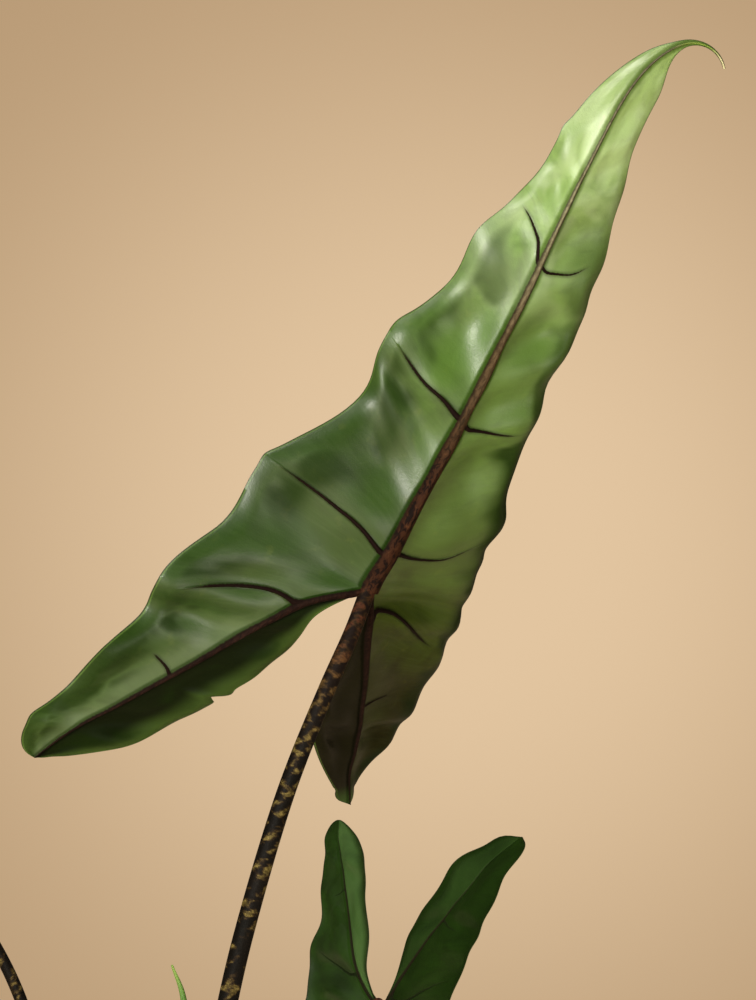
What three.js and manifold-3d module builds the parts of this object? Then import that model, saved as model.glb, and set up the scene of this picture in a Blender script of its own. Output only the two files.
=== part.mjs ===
// A potted alocasia with arrow-shaped leaves: a plain round pot filled with soil, three mottled stalks that
// carry one blade each, and a new leaf that is still rolled up. Millimetres, +Z up, origin at the centre of
// the pot's base, +X to the viewer's right and +Y away from the viewer.
import * as THREE from "three";
import { mergeVertices } from "three/addons/utils/BufferGeometryUtils.js";
import Module from "manifold-3d";

const wasm = await Module();
wasm.setup();

// Driving dimensions
const POT_HEIGHT = 150;
const POT_TOP_RADIUS = 85;
const POT_BASE_RADIUS = 62;
const POT_WALL = 5;
const POT_FLOOR = 7;
const SOIL_TOP = 134;
const SOIL_BULGE = 7; // how far the soil stands higher at the stems than at the wall
const SEAT = 0.3; // the clear gap between two pieces that touch
const STEM_FOOT = 62; // where the stems end, down in the soil
const BLADE_THICKNESS = 0.8;
const MAIN_BLADE_LENGTH = 265; // from the stalk to where the drawn-out tip starts
const MIDRIB_HALF_WIDTH = 4.5;
const MIDRIB_HEIGHT = 3.6;
const RIB_TIP_SHARE = 0.1; // what is left of a rib at its thin end
const LOBE_RIB_SHARE = 0.6; // the size of a lobe's rib at the stalk, against the midrib
const VEIN_HEIGHT = 1.7;
const VEIN_REACH = 0.85; // how far a side vein runs, as a share of the way to the margin
const PUCKER = 3.6; // how far a panel between two side veins is pushed up
const RIB_CHANNEL = 2.2; // how deep the ribs lie in the upper side
const RIB_CHANNEL_WIDTH = 11;
const MARGIN_ROLL_WIDTH = 9; // how far in from the margin the blade starts to roll up
const FULL_RELIEF_WIDTH = 45; // a side of the blade that is narrower has lower relief
const HOOK_START = 0.8; // where the tip starts to turn, as a share of the blade's length
const LOBE_BEND = 25; // the length over which the blade's fold becomes a lobe's fold
const LOBE_REACH = 130; // how far back the lobes' lift and twist are measured
const CURL_WIDTH = 50;
const SHEATH_SHARE = 0.42; // how far up a stalk its sheath reaches
const STALK_SIDES = 10;
const STALK_RING = 16; // the length of stalk between two rings of points

const radians = THREE.MathUtils.degToRad;

// The flat blade, seen on its upper side, drawn at the main blade's size with the midrib along x. The rows
// run from the tip to the end of the rear lobes. Each gives the rib, the outer margin and, for the lobes, the
// margin of the notch between them: how far along the blade, then how far off its middle on the left and on
// the right. The side veins run along odd rows.
const JUNCTION = 10;
const BLADE_ROWS = [
  { rib: [288, 0, 0], outer: [288, 0.5, 0.5] },
  { rib: [265, 0, 0], outer: [264, 2.5, 2] },
  { rib: [238, 0, 0], outer: [242, 10.5, 13] },
  { rib: [205, 0, 0], outer: [212, 16, 16] },
  { rib: [180, 0, 0], outer: [187, 18, 25] },
  { rib: [155, 0, 0], outer: [158, 28.5, 36.5] },
  { rib: [118, 0, 0], outer: [132, 29, 40.5] },
  { rib: [82, 0, 0], outer: [99, 42, 44] },
  { rib: [48, 0, 0], outer: [72, 36.5, 50.5] },
  { rib: [18, 0, 0], outer: [34, 66.5, 62.5] },
  { rib: [0, 0, 0], outer: [4, 72, 83], notch: [0, 0, 0] },
  { rib: [-15, 25.5, 13], outer: [-24, 94, 94], notch: [-20, 17, 12] },
  { rib: [-40, 47, 35], outer: [-44, 91, 108], notch: [-41, 16.5, 18] },
  { rib: [-64, 67, 58], outer: [-63, 105, 113.5], notch: [-62, 33, 22] },
  { rib: [-84, 84.5, 77], outer: [-84, 109, 122], notch: [-84, 44, 43.5] },
  { rib: [-101, 100, 91], outer: [-104, 121, 108], notch: [-104, 74, 77] },
  { rib: [-117, 110, 113], outer: [-117, 110, 113], notch: [-117, 110, 113] },
];
const LAST_ROW = BLADE_ROWS.length - 1;
const VEIN_ROWS = [5, 7, 9, 11, 13];
const TAIL_LENGTH = BLADE_ROWS[0].rib[0] - MAIN_BLADE_LENGTH;

// How each blade hangs. Azimuth 0 points at the viewer and 90 to the right, all angles are in degrees. What
// comes in pairs is for the left and the right. The margin waves by marginWave and rolls up by marginRoll,
// and the lobes' ends are broader by the share blunt.
const BLADES = {
  leaf_main: {
    junction: [91.6, 13.5, 550],
    scale: 1,
    azimuth: 71,
    elevation: 60.5,
    tilt: -38,
    arch: [9, -11],
    twist: -30,
    hook: 40,
    tailTurn: 99,
    fold: 17.5,
    lobeFold: [-8, 24.5],
    lobeLift: [23.5, -24],
    lobeTwist: -2.5,
    curl: -2,
    lobeLength: [1, 1],
    lobeBreadth: [1, 1],
    blunt: [0, 0],
    marginWave: [2.6, 1],
    marginRoll: [2.6, 3.2],
    columns: [4, 3],
  },
  leaf_front: {
    junction: [96.2, -99, 387.7],
    scale: 0.67,
    azimuth: -64,
    elevation: -76,
    tilt: -17.3,
    arch: [6, -14],
    twist: 6,
    hook: 8,
    tailTurn: -60,
    fold: 12,
    lobeFold: [-19.4, 17.3],
    lobeLift: [23.6, -54.8],
    lobeTwist: 4,
    curl: -1.2,
    lobeLength: [1.03, 0.95],
    lobeBreadth: [0.75, 0.87],
    blunt: [0.05, 1.15],
    marginWave: [0.8, 0.8],
    marginRoll: [1.5, 1.5],
    columns: [3, 2],
  },
  leaf_left: {
    junction: [-124, -6, 462],
    scale: 0.56,
    azimuth: -80,
    elevation: -46,
    tilt: -6,
    arch: [-4, -16],
    twist: -10,
    hook: -8,
    tailTurn: 70,
    fold: 14,
    lobeFold: [6, 3],
    lobeLift: [8, -6],
    lobeTwist: 0,
    curl: 0,
    lobeLength: [1, 0.96],
    lobeBreadth: [0.92, 0.92],
    blunt: [0.3, 0.5],
    marginWave: [1.8, 1.8],
    marginRoll: [2, 2],
    columns: [3, 2],
  },
};

// The stalks' centre lines, from the foot in the soil to the blade, and their radii along the length.
const STALKS = {
  stalk_main: {
    path: [
      [7, 5, STEM_FOOT],
      [7, 5, 120],
      [7, 5, 146],
      [7, 5, 156],
      [9.5, 2, 215],
      [17, -4, 294],
      [33, -9, 378],
      [41.2, -10, 412],
      [57.8, -8, 467],
      [74.2, -2.5, 508],
      [85.3, 4.5, 533],
      [92.4, 13.5, 552],
    ],
    foot: 7.5,
    middle: 4.5,
    top: 3.4,
    carries: "leaf_main",
  },
  stalk_front: {
    path: [
      [10, -16, STEM_FOOT],
      [10, -16, 120],
      [10, -16, 146],
      [10, -16, 156],
      [15, -21, 205],
      [34, -33, 285],
      [63, -54, 350],
      [84.5, -77, 380.5],
      [96.2, -98, 390],
    ],
    foot: 6,
    middle: 3.3,
    top: 2.5,
    carries: "leaf_front",
  },
  stalk_left: {
    path: [
      [-15, -3, STEM_FOOT],
      [-15, -3, 120],
      [-15, -3, 146],
      [-15, -3, 156],
      [-20, -2, 210],
      [-34, 0, 300],
      [-54.2, 0, 378],
      [-71.5, -1, 412],
      [-93, -3, 443],
      [-123, -6, 462.5],
    ],
    foot: 5.6,
    middle: 2.9,
    top: 2.2,
    carries: "leaf_left",
  },
  stalk_new: {
    path: [
      [-5, 17, STEM_FOOT],
      [-5, 17, 120],
      [-5, 17, 146],
      [-5, 17, 156],
      [-4, 16, 200],
      [1, 12, 244],
    ],
    foot: 5,
    middle: 3.8,
    top: 3.3,
  },
};

const NEW_LEAF = {
  path: [
    [1.03, 11.97, 244.3],
    [5, 9.5, 275],
    [12, 6, 325],
    [15, 3, 362],
    [13.6, 1.5, 380],
    [9.3, 0, 392.5],
  ],
  foot: 3.3,
  middle: 4.3,
  top: 0.45,
  overlap: 0.55, // how far the free edge of the roll stands off the turn under it
};

const COLOURS = {
  pot: { color: 0xd9d4c8, roughness: 0.6 },
  soil: { color: 0x2f241b, roughness: 1 },
  leaf_main: { color: 0x3f6a2c, roughness: 0.42 },
  leaf_front: { color: 0x23461d, roughness: 0.4 },
  leaf_left: { color: 0x2a5122, roughness: 0.4 },
  stalk: { color: 0x2a2216, roughness: 0.5 },
  new_leaf: { color: 0x6f9f3a, roughness: 0.45 },
};

const part = new THREE.Group();

function addMesh(name, geometry, finish) {
  const material = new THREE.MeshStandardMaterial({ metalness: 0, ...finish });
  const mesh = new THREE.Mesh(geometry, material);
  mesh.name = name;
  part.add(mesh);
}

// Booleans

function toSolid(geometry) {
  const bare = geometry.clone();
  bare.deleteAttribute("normal");
  bare.deleteAttribute("uv");
  const merged = mergeVertices(bare);
  return new wasm.Manifold(
    new wasm.Mesh({
      numProp: 3,
      vertProperties: new Float32Array(merged.attributes.position.array),
      triVerts: new Uint32Array(merged.index.array),
    }),
  );
}

function toGeometry(solid) {
  const mesh = solid.getMesh();
  const geometry = new THREE.BufferGeometry();
  geometry.setAttribute("position", new THREE.BufferAttribute(mesh.vertProperties, 3));
  geometry.setIndex(new THREE.BufferAttribute(mesh.triVerts, 1));
  geometry.computeVertexNormals();
  return geometry;
}

function largestBody(solid) {
  const bodies = solid.decompose();
  return bodies.reduce((best, body) => (body.volume() > best.volume() ? body : best));
}

// The flat blade

// A smooth curve through a list of points, at a place t counted in points.
function through(points, t) {
  const last = points.length - 1;
  const start = Math.min(Math.floor(t), last - 1);
  const at = (i) => points[THREE.MathUtils.clamp(i, 0, last)];
  return points[0].map((_, axis) => {
    const [a, b, c, d] = [-1, 0, 1, 2].map((step) => at(start + step)[axis]);
    const f = t - start;
    const square = (2 * a - 5 * b + 4 * c - d) * f ** 2;
    return 0.5 * (2 * b + (c - a) * f + square + (3 * b - a - 3 * c + d) * f ** 3);
  });
}

const rowPoints = (rows, line, side) =>
  rows.map((row) => [row[line][0], row[line][side < 0 ? 1 : 2]]);

// The outer and the notch margin run on into each other round the end of the lobe.
const LINES = new Map();
for (const side of [-1, 1]) {
  const lobe = BLADE_ROWS.slice(JUNCTION);
  const outer = rowPoints(BLADE_ROWS, "outer", side);
  const notch = rowPoints(lobe, "notch", side);
  LINES.set(side, {
    front: rowPoints(BLADE_ROWS.slice(0, JUNCTION + 1), "rib", side),
    rear: rowPoints(lobe, "rib", side),
    outer: [...outer, notch.at(-2)],
    notch: [...notch, outer.at(-2)],
  });
}

function ribAt(side, t) {
  const { front, rear } = LINES.get(side);
  return t <= JUNCTION ? through(front, t) : through(rear, t - JUNCTION);
}

// Where the end of a lobe can be broader, and over how many rows.
const BLUNT_ROW = 15;
const BLUNT_ROWS = 0.6;

// A row's run from the rib to a margin. Each blade has lobes of its own length and breadth, left and right.
function runAt(pose, side, strip, t) {
  const hand = side < 0 ? 0 : 1;
  const { outer, notch } = LINES.get(side);
  const margin = strip === "outer" ? through(outer, t) : through(notch, t - JUNCTION);
  const lobeShare = THREE.MathUtils.smoothstep(t, JUNCTION - 2, JUNCTION + 2);
  const length = 1 + (pose.lobeLength[hand] - 1) * lobeShare;
  let breadth = 1 + (pose.lobeBreadth[hand] - 1) * lobeShare;
  if (strip === "notch") breadth *= 1 + pose.blunt[hand] * Math.exp(-(((t - BLUNT_ROW) / BLUNT_ROWS) ** 2));
  const ribPlace = ribAt(side, t);
  const rib = ribPlace.map((place) => place * length);
  const run = ribPlace.map((place, axis) => (margin[axis] - place) * breadth);
  return { rib, run, width: Math.hypot(...run) };
}

// How much of a rib's full size is left at row t: full at the stalk, thin at the tip and the lobes' ends.
function ribShare(t) {
  if (t <= JUNCTION) {
    const left = 1 - ribAt(1, t)[0] / BLADE_ROWS[0].rib[0];
    return RIB_TIP_SHARE + (1 - RIB_TIP_SHARE) * left ** 1.8;
  }
  const left = 1 - (t - JUNCTION) / (LAST_ROW - JUNCTION);
  return RIB_TIP_SHARE + (LOBE_RIB_SHARE - RIB_TIP_SHARE) * left ** 0.8;
}

// The blade's height off its own flat sheet: panels pushed up between the side veins, a waved margin that
// rolls up, and a channel along the ribs.
function heightAt(pose, side, t, v, width) {
  const hand = side < 0 ? 0 : 1;
  const onVein = (1 - Math.cos(Math.PI * t)) / 2;
  const relief = Math.min(1, width / FULL_RELIEF_WIDTH);
  const pucker = PUCKER * (1 - onVein) * Math.sin(Math.PI * Math.min(1, v * 1.1)) ** 1.2;
  const wave = pose.marginWave[hand] * (1 - 2 * onVein) * v ** 3;
  const nearMargin = Math.max(0, 1 - ((1 - v) * width) / MARGIN_ROLL_WIDTH);
  const roll = pose.marginRoll[hand] * nearMargin ** 2;
  const channel = RIB_CHANNEL * ribShare(t) * Math.exp(-(((v * width) / RIB_CHANNEL_WIDTH) ** 2));
  return relief * (pucker + wave + roll) - channel;
}

// One point of the blade at row t and share v of the way from the rib to a margin.
function bladePoint(pose, side, strip, t, v) {
  const { rib, run, width } = runAt(pose, side, strip, t);
  const fromRib = v * width;
  const halfWidth = MIDRIB_HALF_WIDTH * ribShare(t);
  const ribRise = MIDRIB_HEIGHT * ribShare(t) * Math.sqrt(Math.max(0, 1 - (fromRib / halfWidth) ** 2));
  let veinRise = 0;
  if (strip === "outer" && VEIN_ROWS.includes(t)) {
    veinRise = VEIN_HEIGHT * Math.max(0, 1 - v / VEIN_REACH) ** 0.6 * Math.min(1, width / FULL_RELIEF_WIDTH);
  }
  return {
    x: rib[0] + run[0] * v,
    y: rib[1] + run[1] * v,
    height: heightAt(pose, side, t, v, width),
    rise: Math.max(ribRise, veinRise),
  };
}

// Bending the flat blade

// The blade's own axes where the stalk meets it: along the midrib, to its right, and up out of its face.
function junctionAxes({ azimuth, elevation, tilt }) {
  const level = Math.cos(radians(elevation));
  const along = new THREE.Vector3(
    level * Math.sin(radians(azimuth)),
    -level * Math.cos(radians(azimuth)),
    Math.sin(radians(elevation)),
  );
  const up = new THREE.Vector3(0, 0, 1).addScaledVector(along, -along.z).normalize();
  up.applyAxisAngle(along, radians(tilt));
  const right = up.clone().cross(along);
  return new THREE.Matrix4().makeBasis(along, right, up);
}

function axesAt(pose, x) {
  const share = Math.min(x / MAIN_BLADE_LENGTH, 1);
  let pitch = pose.arch[0] * share + pose.arch[1] * share ** 2;
  let twist = pose.twist * share;
  let turn = pose.hook * Math.max(0, (share - HOOK_START) / (1 - HOOK_START)) ** 2.5;
  if (x > MAIN_BLADE_LENGTH) turn += (pose.tailTurn * (x - MAIN_BLADE_LENGTH)) / TAIL_LENGTH;
  if (x < 0) {
    const back = x / LOBE_REACH;
    pitch = -pose.lobeLift[0] * (1 - Math.exp(x / LOBE_BEND)) + pose.lobeLift[1] * back;
    twist = pose.lobeTwist * back;
    turn = 0;
  }
  return junctionAxes(pose)
    .multiply(new THREE.Matrix4().makeRotationY(-radians(pitch)))
    .multiply(new THREE.Matrix4().makeRotationX(radians(twist)))
    .multiply(new THREE.Matrix4().makeRotationZ(radians(turn)));
}

// The bent centre line, walked from the stalk to the tip, and as far the other way, in short steps.
const CENTRE_STEP = 3;
function centreLine(pose) {
  const line = new Map([[0, new THREE.Vector3()]]);
  for (const direction of [1, -1]) {
    const place = new THREE.Vector3();
    for (let i = 1; i * CENTRE_STEP < BLADE_ROWS[0].rib[0] + 2 * CENTRE_STEP; i++) {
      const middle = direction * (i - 0.5) * CENTRE_STEP;
      const along = new THREE.Vector3().setFromMatrixColumn(axesAt(pose, middle), 0);
      place.addScaledVector(along, direction * CENTRE_STEP);
      line.set(direction * i, place.clone());
    }
  }
  return line;
}

// Returns a function that puts a point of the flat blade, at some height off it, in its place in the plant.
function bender(pose) {
  const line = centreLine(pose);
  const junction = new THREE.Vector3(...pose.junction);
  return (x, y, side, height) => {
    const step = Math.floor(x / CENTRE_STEP);
    const place = line.get(step).clone();
    place.lerp(line.get(step + 1), x / CENTRE_STEP - step);
    const [along, right, up] = [0, 1, 2].map(() => new THREE.Vector3());
    axesAt(pose, x).extractBasis(along, right, up);
    const front = 1 / (1 + Math.exp(-x / LOBE_BEND));
    const lobeFold = pose.lobeFold[side < 0 ? 0 : 1];
    const fold = radians(front * pose.fold + (1 - front) * lobeFold);
    const slope = fold - radians((pose.curl * y) / CURL_WIDTH);
    const chord = (fold + slope) / 2;
    place.addScaledVector(right, side * (y * Math.cos(chord) - height * Math.sin(slope)));
    place.addScaledVector(up, y * Math.sin(chord) + height * Math.cos(slope));
    return place.multiplyScalar(pose.scale).add(junction);
  };
}

// The rows and columns of triangles: a row on each side vein with one close to it on either side, and one
// halfway between. A column runs along each rib, with two more across its raised width, and the last but one
// where the margin starts to roll up.
const VEIN_FLANK = 0.07;
function rowPlaces() {
  const places = [0];
  for (let row = 1; row <= LAST_ROW; row++) {
    places.push(row - 0.5);
    if (VEIN_ROWS.includes(row)) places.push(row - VEIN_FLANK);
    places.push(row);
    if (VEIN_ROWS.includes(row)) places.push(row + VEIN_FLANK);
  }
  return places;
}

const MOST_EDGE = 0.4; // the share of a narrow row that a rib, or the rolled margin, takes at most
function columnPlaces(pose, side, strip, t, count) {
  const width = Math.max(runAt(pose, side, strip, t).width, 0.001);
  const edge = Math.min(MOST_EDGE, (MIDRIB_HALF_WIDTH * ribShare(t)) / width);
  const rolled = 1 - Math.min(MOST_EDGE, MARGIN_ROLL_WIDTH / width);
  const panel = Array.from({ length: count - 1 }, (_, i) => edge + ((rolled - edge) * (i + 1)) / (count - 1));
  return [0, 0.6 * edge, edge, ...panel, 1];
}

// A blade as one closed sheet of even thickness, with its ribs and side veins raised on the underside.
function bladeGeometry(pose, extraThickness = 0) {
  const put = bender(pose);
  const rows = rowPlaces();
  const junctionRow = rows.indexOf(JUNCTION);
  const lastRow = rows.length - 1;
  const top = [];
  const bottom = [];
  const numbers = new Map();
  const name = (side, strip, i, j) => {
    if (i === 0) return "tail";
    if (i === lastRow) return "lobe" + side;
    if (i <= junctionRow && (j === 0 || (strip === "notch" && i === junctionRow))) return "mid" + i;
    return j === 0 ? `rib${side},${i}` : `${strip}${side},${i},${j}`;
  };
  const vertex = (side, strip, i, j, v) => {
    const key = name(side, strip, i, j);
    if (!numbers.has(key)) {
      const p = bladePoint(pose, side, strip, rows[i], v);
      const grow = extraThickness / pose.scale;
      const under = p.height - BLADE_THICKNESS / pose.scale - p.rise - grow;
      numbers.set(key, top.length);
      top.push(put(p.x, p.y, side, p.height + grow));
      bottom.push(put(p.x, p.y, side, under));
    }
    return numbers.get(key);
  };
  const faces = [];
  const face = (a, b, c) => {
    if (a !== b && b !== c && c !== a) faces.push([a, b, c]);
  };
  const strips = [
    ["outer", 0, pose.columns[0]],
    ["notch", junctionRow, pose.columns[1]],
  ];
  for (const side of [-1, 1]) {
    for (const [strip, first, count] of strips) {
      const grid = rows.slice(first).map((t, row) =>
        columnPlaces(pose, side, strip, t, count).map((v, j) => vertex(side, strip, first + row, j, v)),
      );
      const turned = side * (strip === "outer" ? 1 : -1) < 0;
      for (let i = 0; i + 1 < grid.length; i++) {
        for (let j = 0; j + 1 < grid[i].length; j++) {
          const [near, far] = [grid[i], grid[i + 1]];
          const corners = [far[j], near[j], near[j + 1], far[j + 1]];
          if (turned) corners.reverse();
          face(corners[0], corners[1], corners[2]);
          face(corners[0], corners[2], corners[3]);
        }
      }
    }
  }
  return closedSheet(top, bottom, faces);
}

// Closes a sheet: the same triangles on both faces, and a rim along every edge that only one triangle has.
function closedSheet(top, bottom, faces) {
  const shift = top.length;
  const index = [];
  const edges = new Set();
  for (const [a, b, c] of faces) {
    index.push(a, b, c, shift + a, shift + c, shift + b);
    for (const edge of [[a, b], [b, c], [c, a]]) edges.add(edge.join());
  }
  for (const edge of edges) {
    const [a, b] = edge.split(",").map(Number);
    if (!edges.has([b, a].join())) index.push(b, a, shift + a, b, shift + a, shift + b);
  }
  const geometry = new THREE.BufferGeometry().setFromPoints([...top, ...bottom]);
  geometry.setIndex(index);
  geometry.computeVertexNormals();
  return geometry;
}

// Stalks

// A straight turned rod, bent along a curve. outline(share, angle) gives the radius there.
function bentRod(points, outline, sides, rings) {
  const curve = new THREE.CatmullRomCurve3(points.map((p) => new THREE.Vector3(...p)), false, "centripetal");
  const { tangents, normals } = curve.computeFrenetFrames(rings, false);
  const profile = [new THREE.Vector2(0, 0)];
  for (let i = 0; i <= rings; i++) profile.push(new THREE.Vector2(1, i));
  profile.push(new THREE.Vector2(0, rings));
  const rod = new THREE.LatheGeometry(profile, sides);
  const place = rod.attributes.position;
  for (let i = 0; i < place.count; i++) {
    const ring = Math.round(place.getY(i));
    const share = ring / rings;
    const round = Math.hypot(place.getX(i), place.getZ(i));
    const angle = Math.atan2(place.getZ(i), place.getX(i));
    const radius = round < 0.5 ? 0 : outline(share, angle);
    const across = normals[ring].clone().cross(tangents[ring]);
    const point = curve.getPointAt(share);
    point.addScaledVector(normals[ring], radius * Math.cos(angle));
    point.addScaledVector(across, radius * Math.sin(angle));
    place.setXYZ(i, point.x, point.y, point.z);
  }
  rod.computeVertexNormals();
  return rod;
}

// A stalk is widest in the soil, where its sheath wraps round, and slims quickly above it.
function stalkRadius({ foot, middle, top }, share) {
  if (share < SHEATH_SHARE) {
    const fade = THREE.MathUtils.smoothstep(share, 0.35 * SHEATH_SHARE, SHEATH_SHARE);
    return foot + (middle - foot) * fade;
  }
  return middle + (top - middle) * ((share - SHEATH_SHARE) / (1 - SHEATH_SHARE)) ** 1.5;
}

// Cuts the stalk's end to the blade's underside, clear of it by SEAT: the blade that cuts it is grown on both
// faces and moved a little each way along them.
function cutToSeat(stalk, pose) {
  const grown = toSolid(bladeGeometry(pose, SEAT));
  const [along, right] = [new THREE.Vector3(), new THREE.Vector3()];
  junctionAxes(pose).extractBasis(along, right, new THREE.Vector3());
  let solid = toSolid(stalk);
  for (const move of [along, right]) {
    for (const direction of [-SEAT, SEAT]) {
      solid = solid.subtract(grown.translate(move.clone().multiplyScalar(direction).toArray()));
    }
  }
  return toGeometry(largestBody(solid));
}

for (const [name, stalk] of Object.entries(STALKS)) {
  const rings = Math.round((stalk.path.at(-1)[2] - STEM_FOOT) / STALK_RING);
  let geometry = bentRod(stalk.path, (share) => stalkRadius(stalk, share), STALK_SIDES, rings);
  if (stalk.carries) geometry = cutToSeat(geometry, BLADES[stalk.carries]);
  addMesh(name, geometry, COLOURS.stalk);
}

for (const [name, pose] of Object.entries(BLADES)) {
  addMesh(name, bladeGeometry(pose), COLOURS[name]);
}

// The new leaf: one blade rolled round itself, whose free edge runs up it in a long spiral.
const NEW_LEAF_SIDES = 16;
const NEW_LEAF_RINGS = 18;
const EDGE_TURNS = 1.6; // turns of the free edge from foot to tip
const WIDEST_SHARE = 0.3;
const FULL_OVERLAP_RADIUS = 2.5;
function rollRadius(share, angle) {
  const { foot, middle, top, overlap } = NEW_LEAF;
  const swell = foot + (middle - foot) * THREE.MathUtils.smoothstep(share, 0, WIDEST_SHARE);
  const slimmed = Math.max(0, (share - WIDEST_SHARE) / (1 - WIDEST_SHARE)) ** 1.25;
  const body = top + (swell - top) * (1 - slimmed);
  const round = (angle / (2 * Math.PI) + EDGE_TURNS * share + 2) % 1;
  return body + overlap * round * Math.min(1, body / FULL_OVERLAP_RADIUS);
}
const newLeaf = bentRod(NEW_LEAF.path, rollRadius, NEW_LEAF_SIDES, NEW_LEAF_RINGS);
addMesh("leaf_new", newLeaf, COLOURS.new_leaf);

// Pot and soil

function innerRadiusAt(height) {
  return POT_BASE_RADIUS + ((POT_TOP_RADIUS - POT_BASE_RADIUS) * height) / POT_HEIGHT - POT_WALL;
}

const RIM_ROUND = POT_WALL / 2;
const FOOT_ROUND = 3;
function potProfile() {
  const points = [new THREE.Vector2(0, 0)];
  const arc = (x, y, radius, from, to, steps) => {
    for (let i = 0; i <= steps; i++) {
      const angle = radians(from + ((to - from) * i) / steps);
      points.push(new THREE.Vector2(x + radius * Math.cos(angle), y + radius * Math.sin(angle)));
    }
  };
  arc(POT_BASE_RADIUS - FOOT_ROUND, FOOT_ROUND, FOOT_ROUND, -90, 0, 2);
  arc(POT_TOP_RADIUS - RIM_ROUND, POT_HEIGHT - RIM_ROUND, RIM_ROUND, 0, 180, 6);
  arc(innerRadiusAt(POT_FLOOR) - FOOT_ROUND, POT_FLOOR + FOOT_ROUND, FOOT_ROUND, 0, -90, 2);
  points.push(new THREE.Vector2(0, POT_FLOOR));
  return points;
}

function turned(profile, segments) {
  return new THREE.LatheGeometry(profile, segments).rotateX(Math.PI / 2);
}

const POT_SEGMENTS = 56;
addMesh("pot", turned(potProfile(), POT_SEGMENTS), COLOURS.pot);

// The soil fills the pot to below its rim and rises to a low, lumpy mound round the stems.
const SOIL_RINGS = 7;
const SOIL_SIDES = 32;
function soilLump(x, y) {
  const broad = 1.1 * Math.sin(x * 0.21 + 0.6 * Math.sin(y * 0.13)) * Math.cos(y * 0.17 + 1.3);
  return broad + 0.5 * Math.sin(x * 0.43 + y * 0.37);
}
function soilGeometry() {
  const base = POT_FLOOR + SEAT;
  const wall = (height) => innerRadiusAt(height) - SEAT;
  const profile = [new THREE.Vector2(0, base), new THREE.Vector2(wall(base) - FOOT_ROUND, base)];
  profile.push(new THREE.Vector2(wall(base) - SEAT, base + FOOT_ROUND));
  for (let i = SOIL_RINGS; i >= 0; i--) {
    const share = i / SOIL_RINGS;
    const height = SOIL_TOP + SOIL_BULGE * (1 - share ** 2) ** 1.5;
    profile.push(new THREE.Vector2(share * wall(SOIL_TOP), height));
  }
  const soil = turned(profile, SOIL_SIDES);
  const place = soil.attributes.position;
  for (let i = 0; i < place.count; i++) {
    const [x, y, z] = [place.getX(i), place.getY(i), place.getZ(i)];
    if (z > SOIL_TOP - 1) place.setZ(i, z + soilLump(x, y));
  }
  return soil;
}

// A plain hole for each stalk, from just under its foot up to well above the soil.
const HOLE_SIDES = 24;
const HOLE_DEPTH = POT_HEIGHT + SOIL_BULGE - STEM_FOOT;
let soil = toSolid(soilGeometry());
for (const stalk of Object.values(STALKS)) {
  const radius = (stalk.foot + SEAT) / Math.cos(Math.PI / HOLE_SIDES);
  const hole = new THREE.CylinderGeometry(radius, radius, HOLE_DEPTH, HOLE_SIDES);
  hole.rotateX(Math.PI / 2);
  hole.translate(stalk.path[0][0], stalk.path[0][1], STEM_FOOT - SEAT + HOLE_DEPTH / 2);
  soil = soil.subtract(toSolid(hole));
}
addMesh("soil", toGeometry(soil), COLOURS.soil);

export default part;
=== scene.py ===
# %% [markdown]
# # A potted alocasia
# The real plant has long arrow-shaped blades on mottled stalks, a new leaf that is still rolled up, and a
# round pot of soil. Plain solids of all its pieces come packed as a frame, in metres, with +Z up and the
# origin at the centre of the pot's base. This lesson builds a finer piece round each of them and gives each
# one its finish.

import bpy
import numpy as np
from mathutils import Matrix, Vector


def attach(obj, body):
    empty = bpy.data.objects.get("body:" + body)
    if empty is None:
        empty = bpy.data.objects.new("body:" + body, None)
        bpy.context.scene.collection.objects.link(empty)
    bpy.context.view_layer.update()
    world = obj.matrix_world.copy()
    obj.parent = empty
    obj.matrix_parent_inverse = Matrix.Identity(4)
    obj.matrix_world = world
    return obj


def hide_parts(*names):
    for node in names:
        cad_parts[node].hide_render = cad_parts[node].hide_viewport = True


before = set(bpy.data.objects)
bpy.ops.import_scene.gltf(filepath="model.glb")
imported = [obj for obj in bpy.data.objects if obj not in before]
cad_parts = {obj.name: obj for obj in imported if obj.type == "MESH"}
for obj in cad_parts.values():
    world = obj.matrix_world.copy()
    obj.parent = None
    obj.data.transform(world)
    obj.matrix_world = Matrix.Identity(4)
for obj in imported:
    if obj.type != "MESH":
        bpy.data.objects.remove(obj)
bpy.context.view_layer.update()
MM = 0.001
print("solids in the frame:", sorted(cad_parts))

# %% [markdown]
# ## Camera
# The photo was taken level with the middle of the big blade, from about a metre and a half, with a long
# lens. A camera that looks level keeps the upright edges of the pot parallel, so no tilt and no shift are
# needed.

# %% Camera
CAMERA_PLACE = (0.0958, -1.5, 0.5878)
LENS = 128.6
SENSOR = 36

bpy.ops.object.camera_add(location=CAMERA_PLACE, rotation=(np.pi / 2, 0, 0))
camera = bpy.context.object
camera.name = "camera"
camera.data.lens = LENS
camera.data.sensor_width = SENSOR
camera.data.clip_end = 60
bpy.context.scene.camera = camera
print("camera at", CAMERA_PLACE, "with a", LENS, "mm lens")

# %% [markdown]
# ## Small helpers for materials
# Every finish in this lesson is a tree of shader nodes. A few short functions keep those trees readable:
# one adds a node and fills its sockets, the others wrap the nodes that come back again and again. Colours
# are written as 0 to 255, as in a paint program, and turned into the linear values that the shader wants.


# %% Node helpers
def paint(red, green, blue):
    """A linear RGBA colour from 0 to 255 values."""
    share = np.array([red, green, blue]) / 255
    linear = np.where(share < 0.04045, share / 12.92, ((share + 0.055) / 1.055) ** 2.4)
    return (*linear.tolist(), 1.0)


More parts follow.
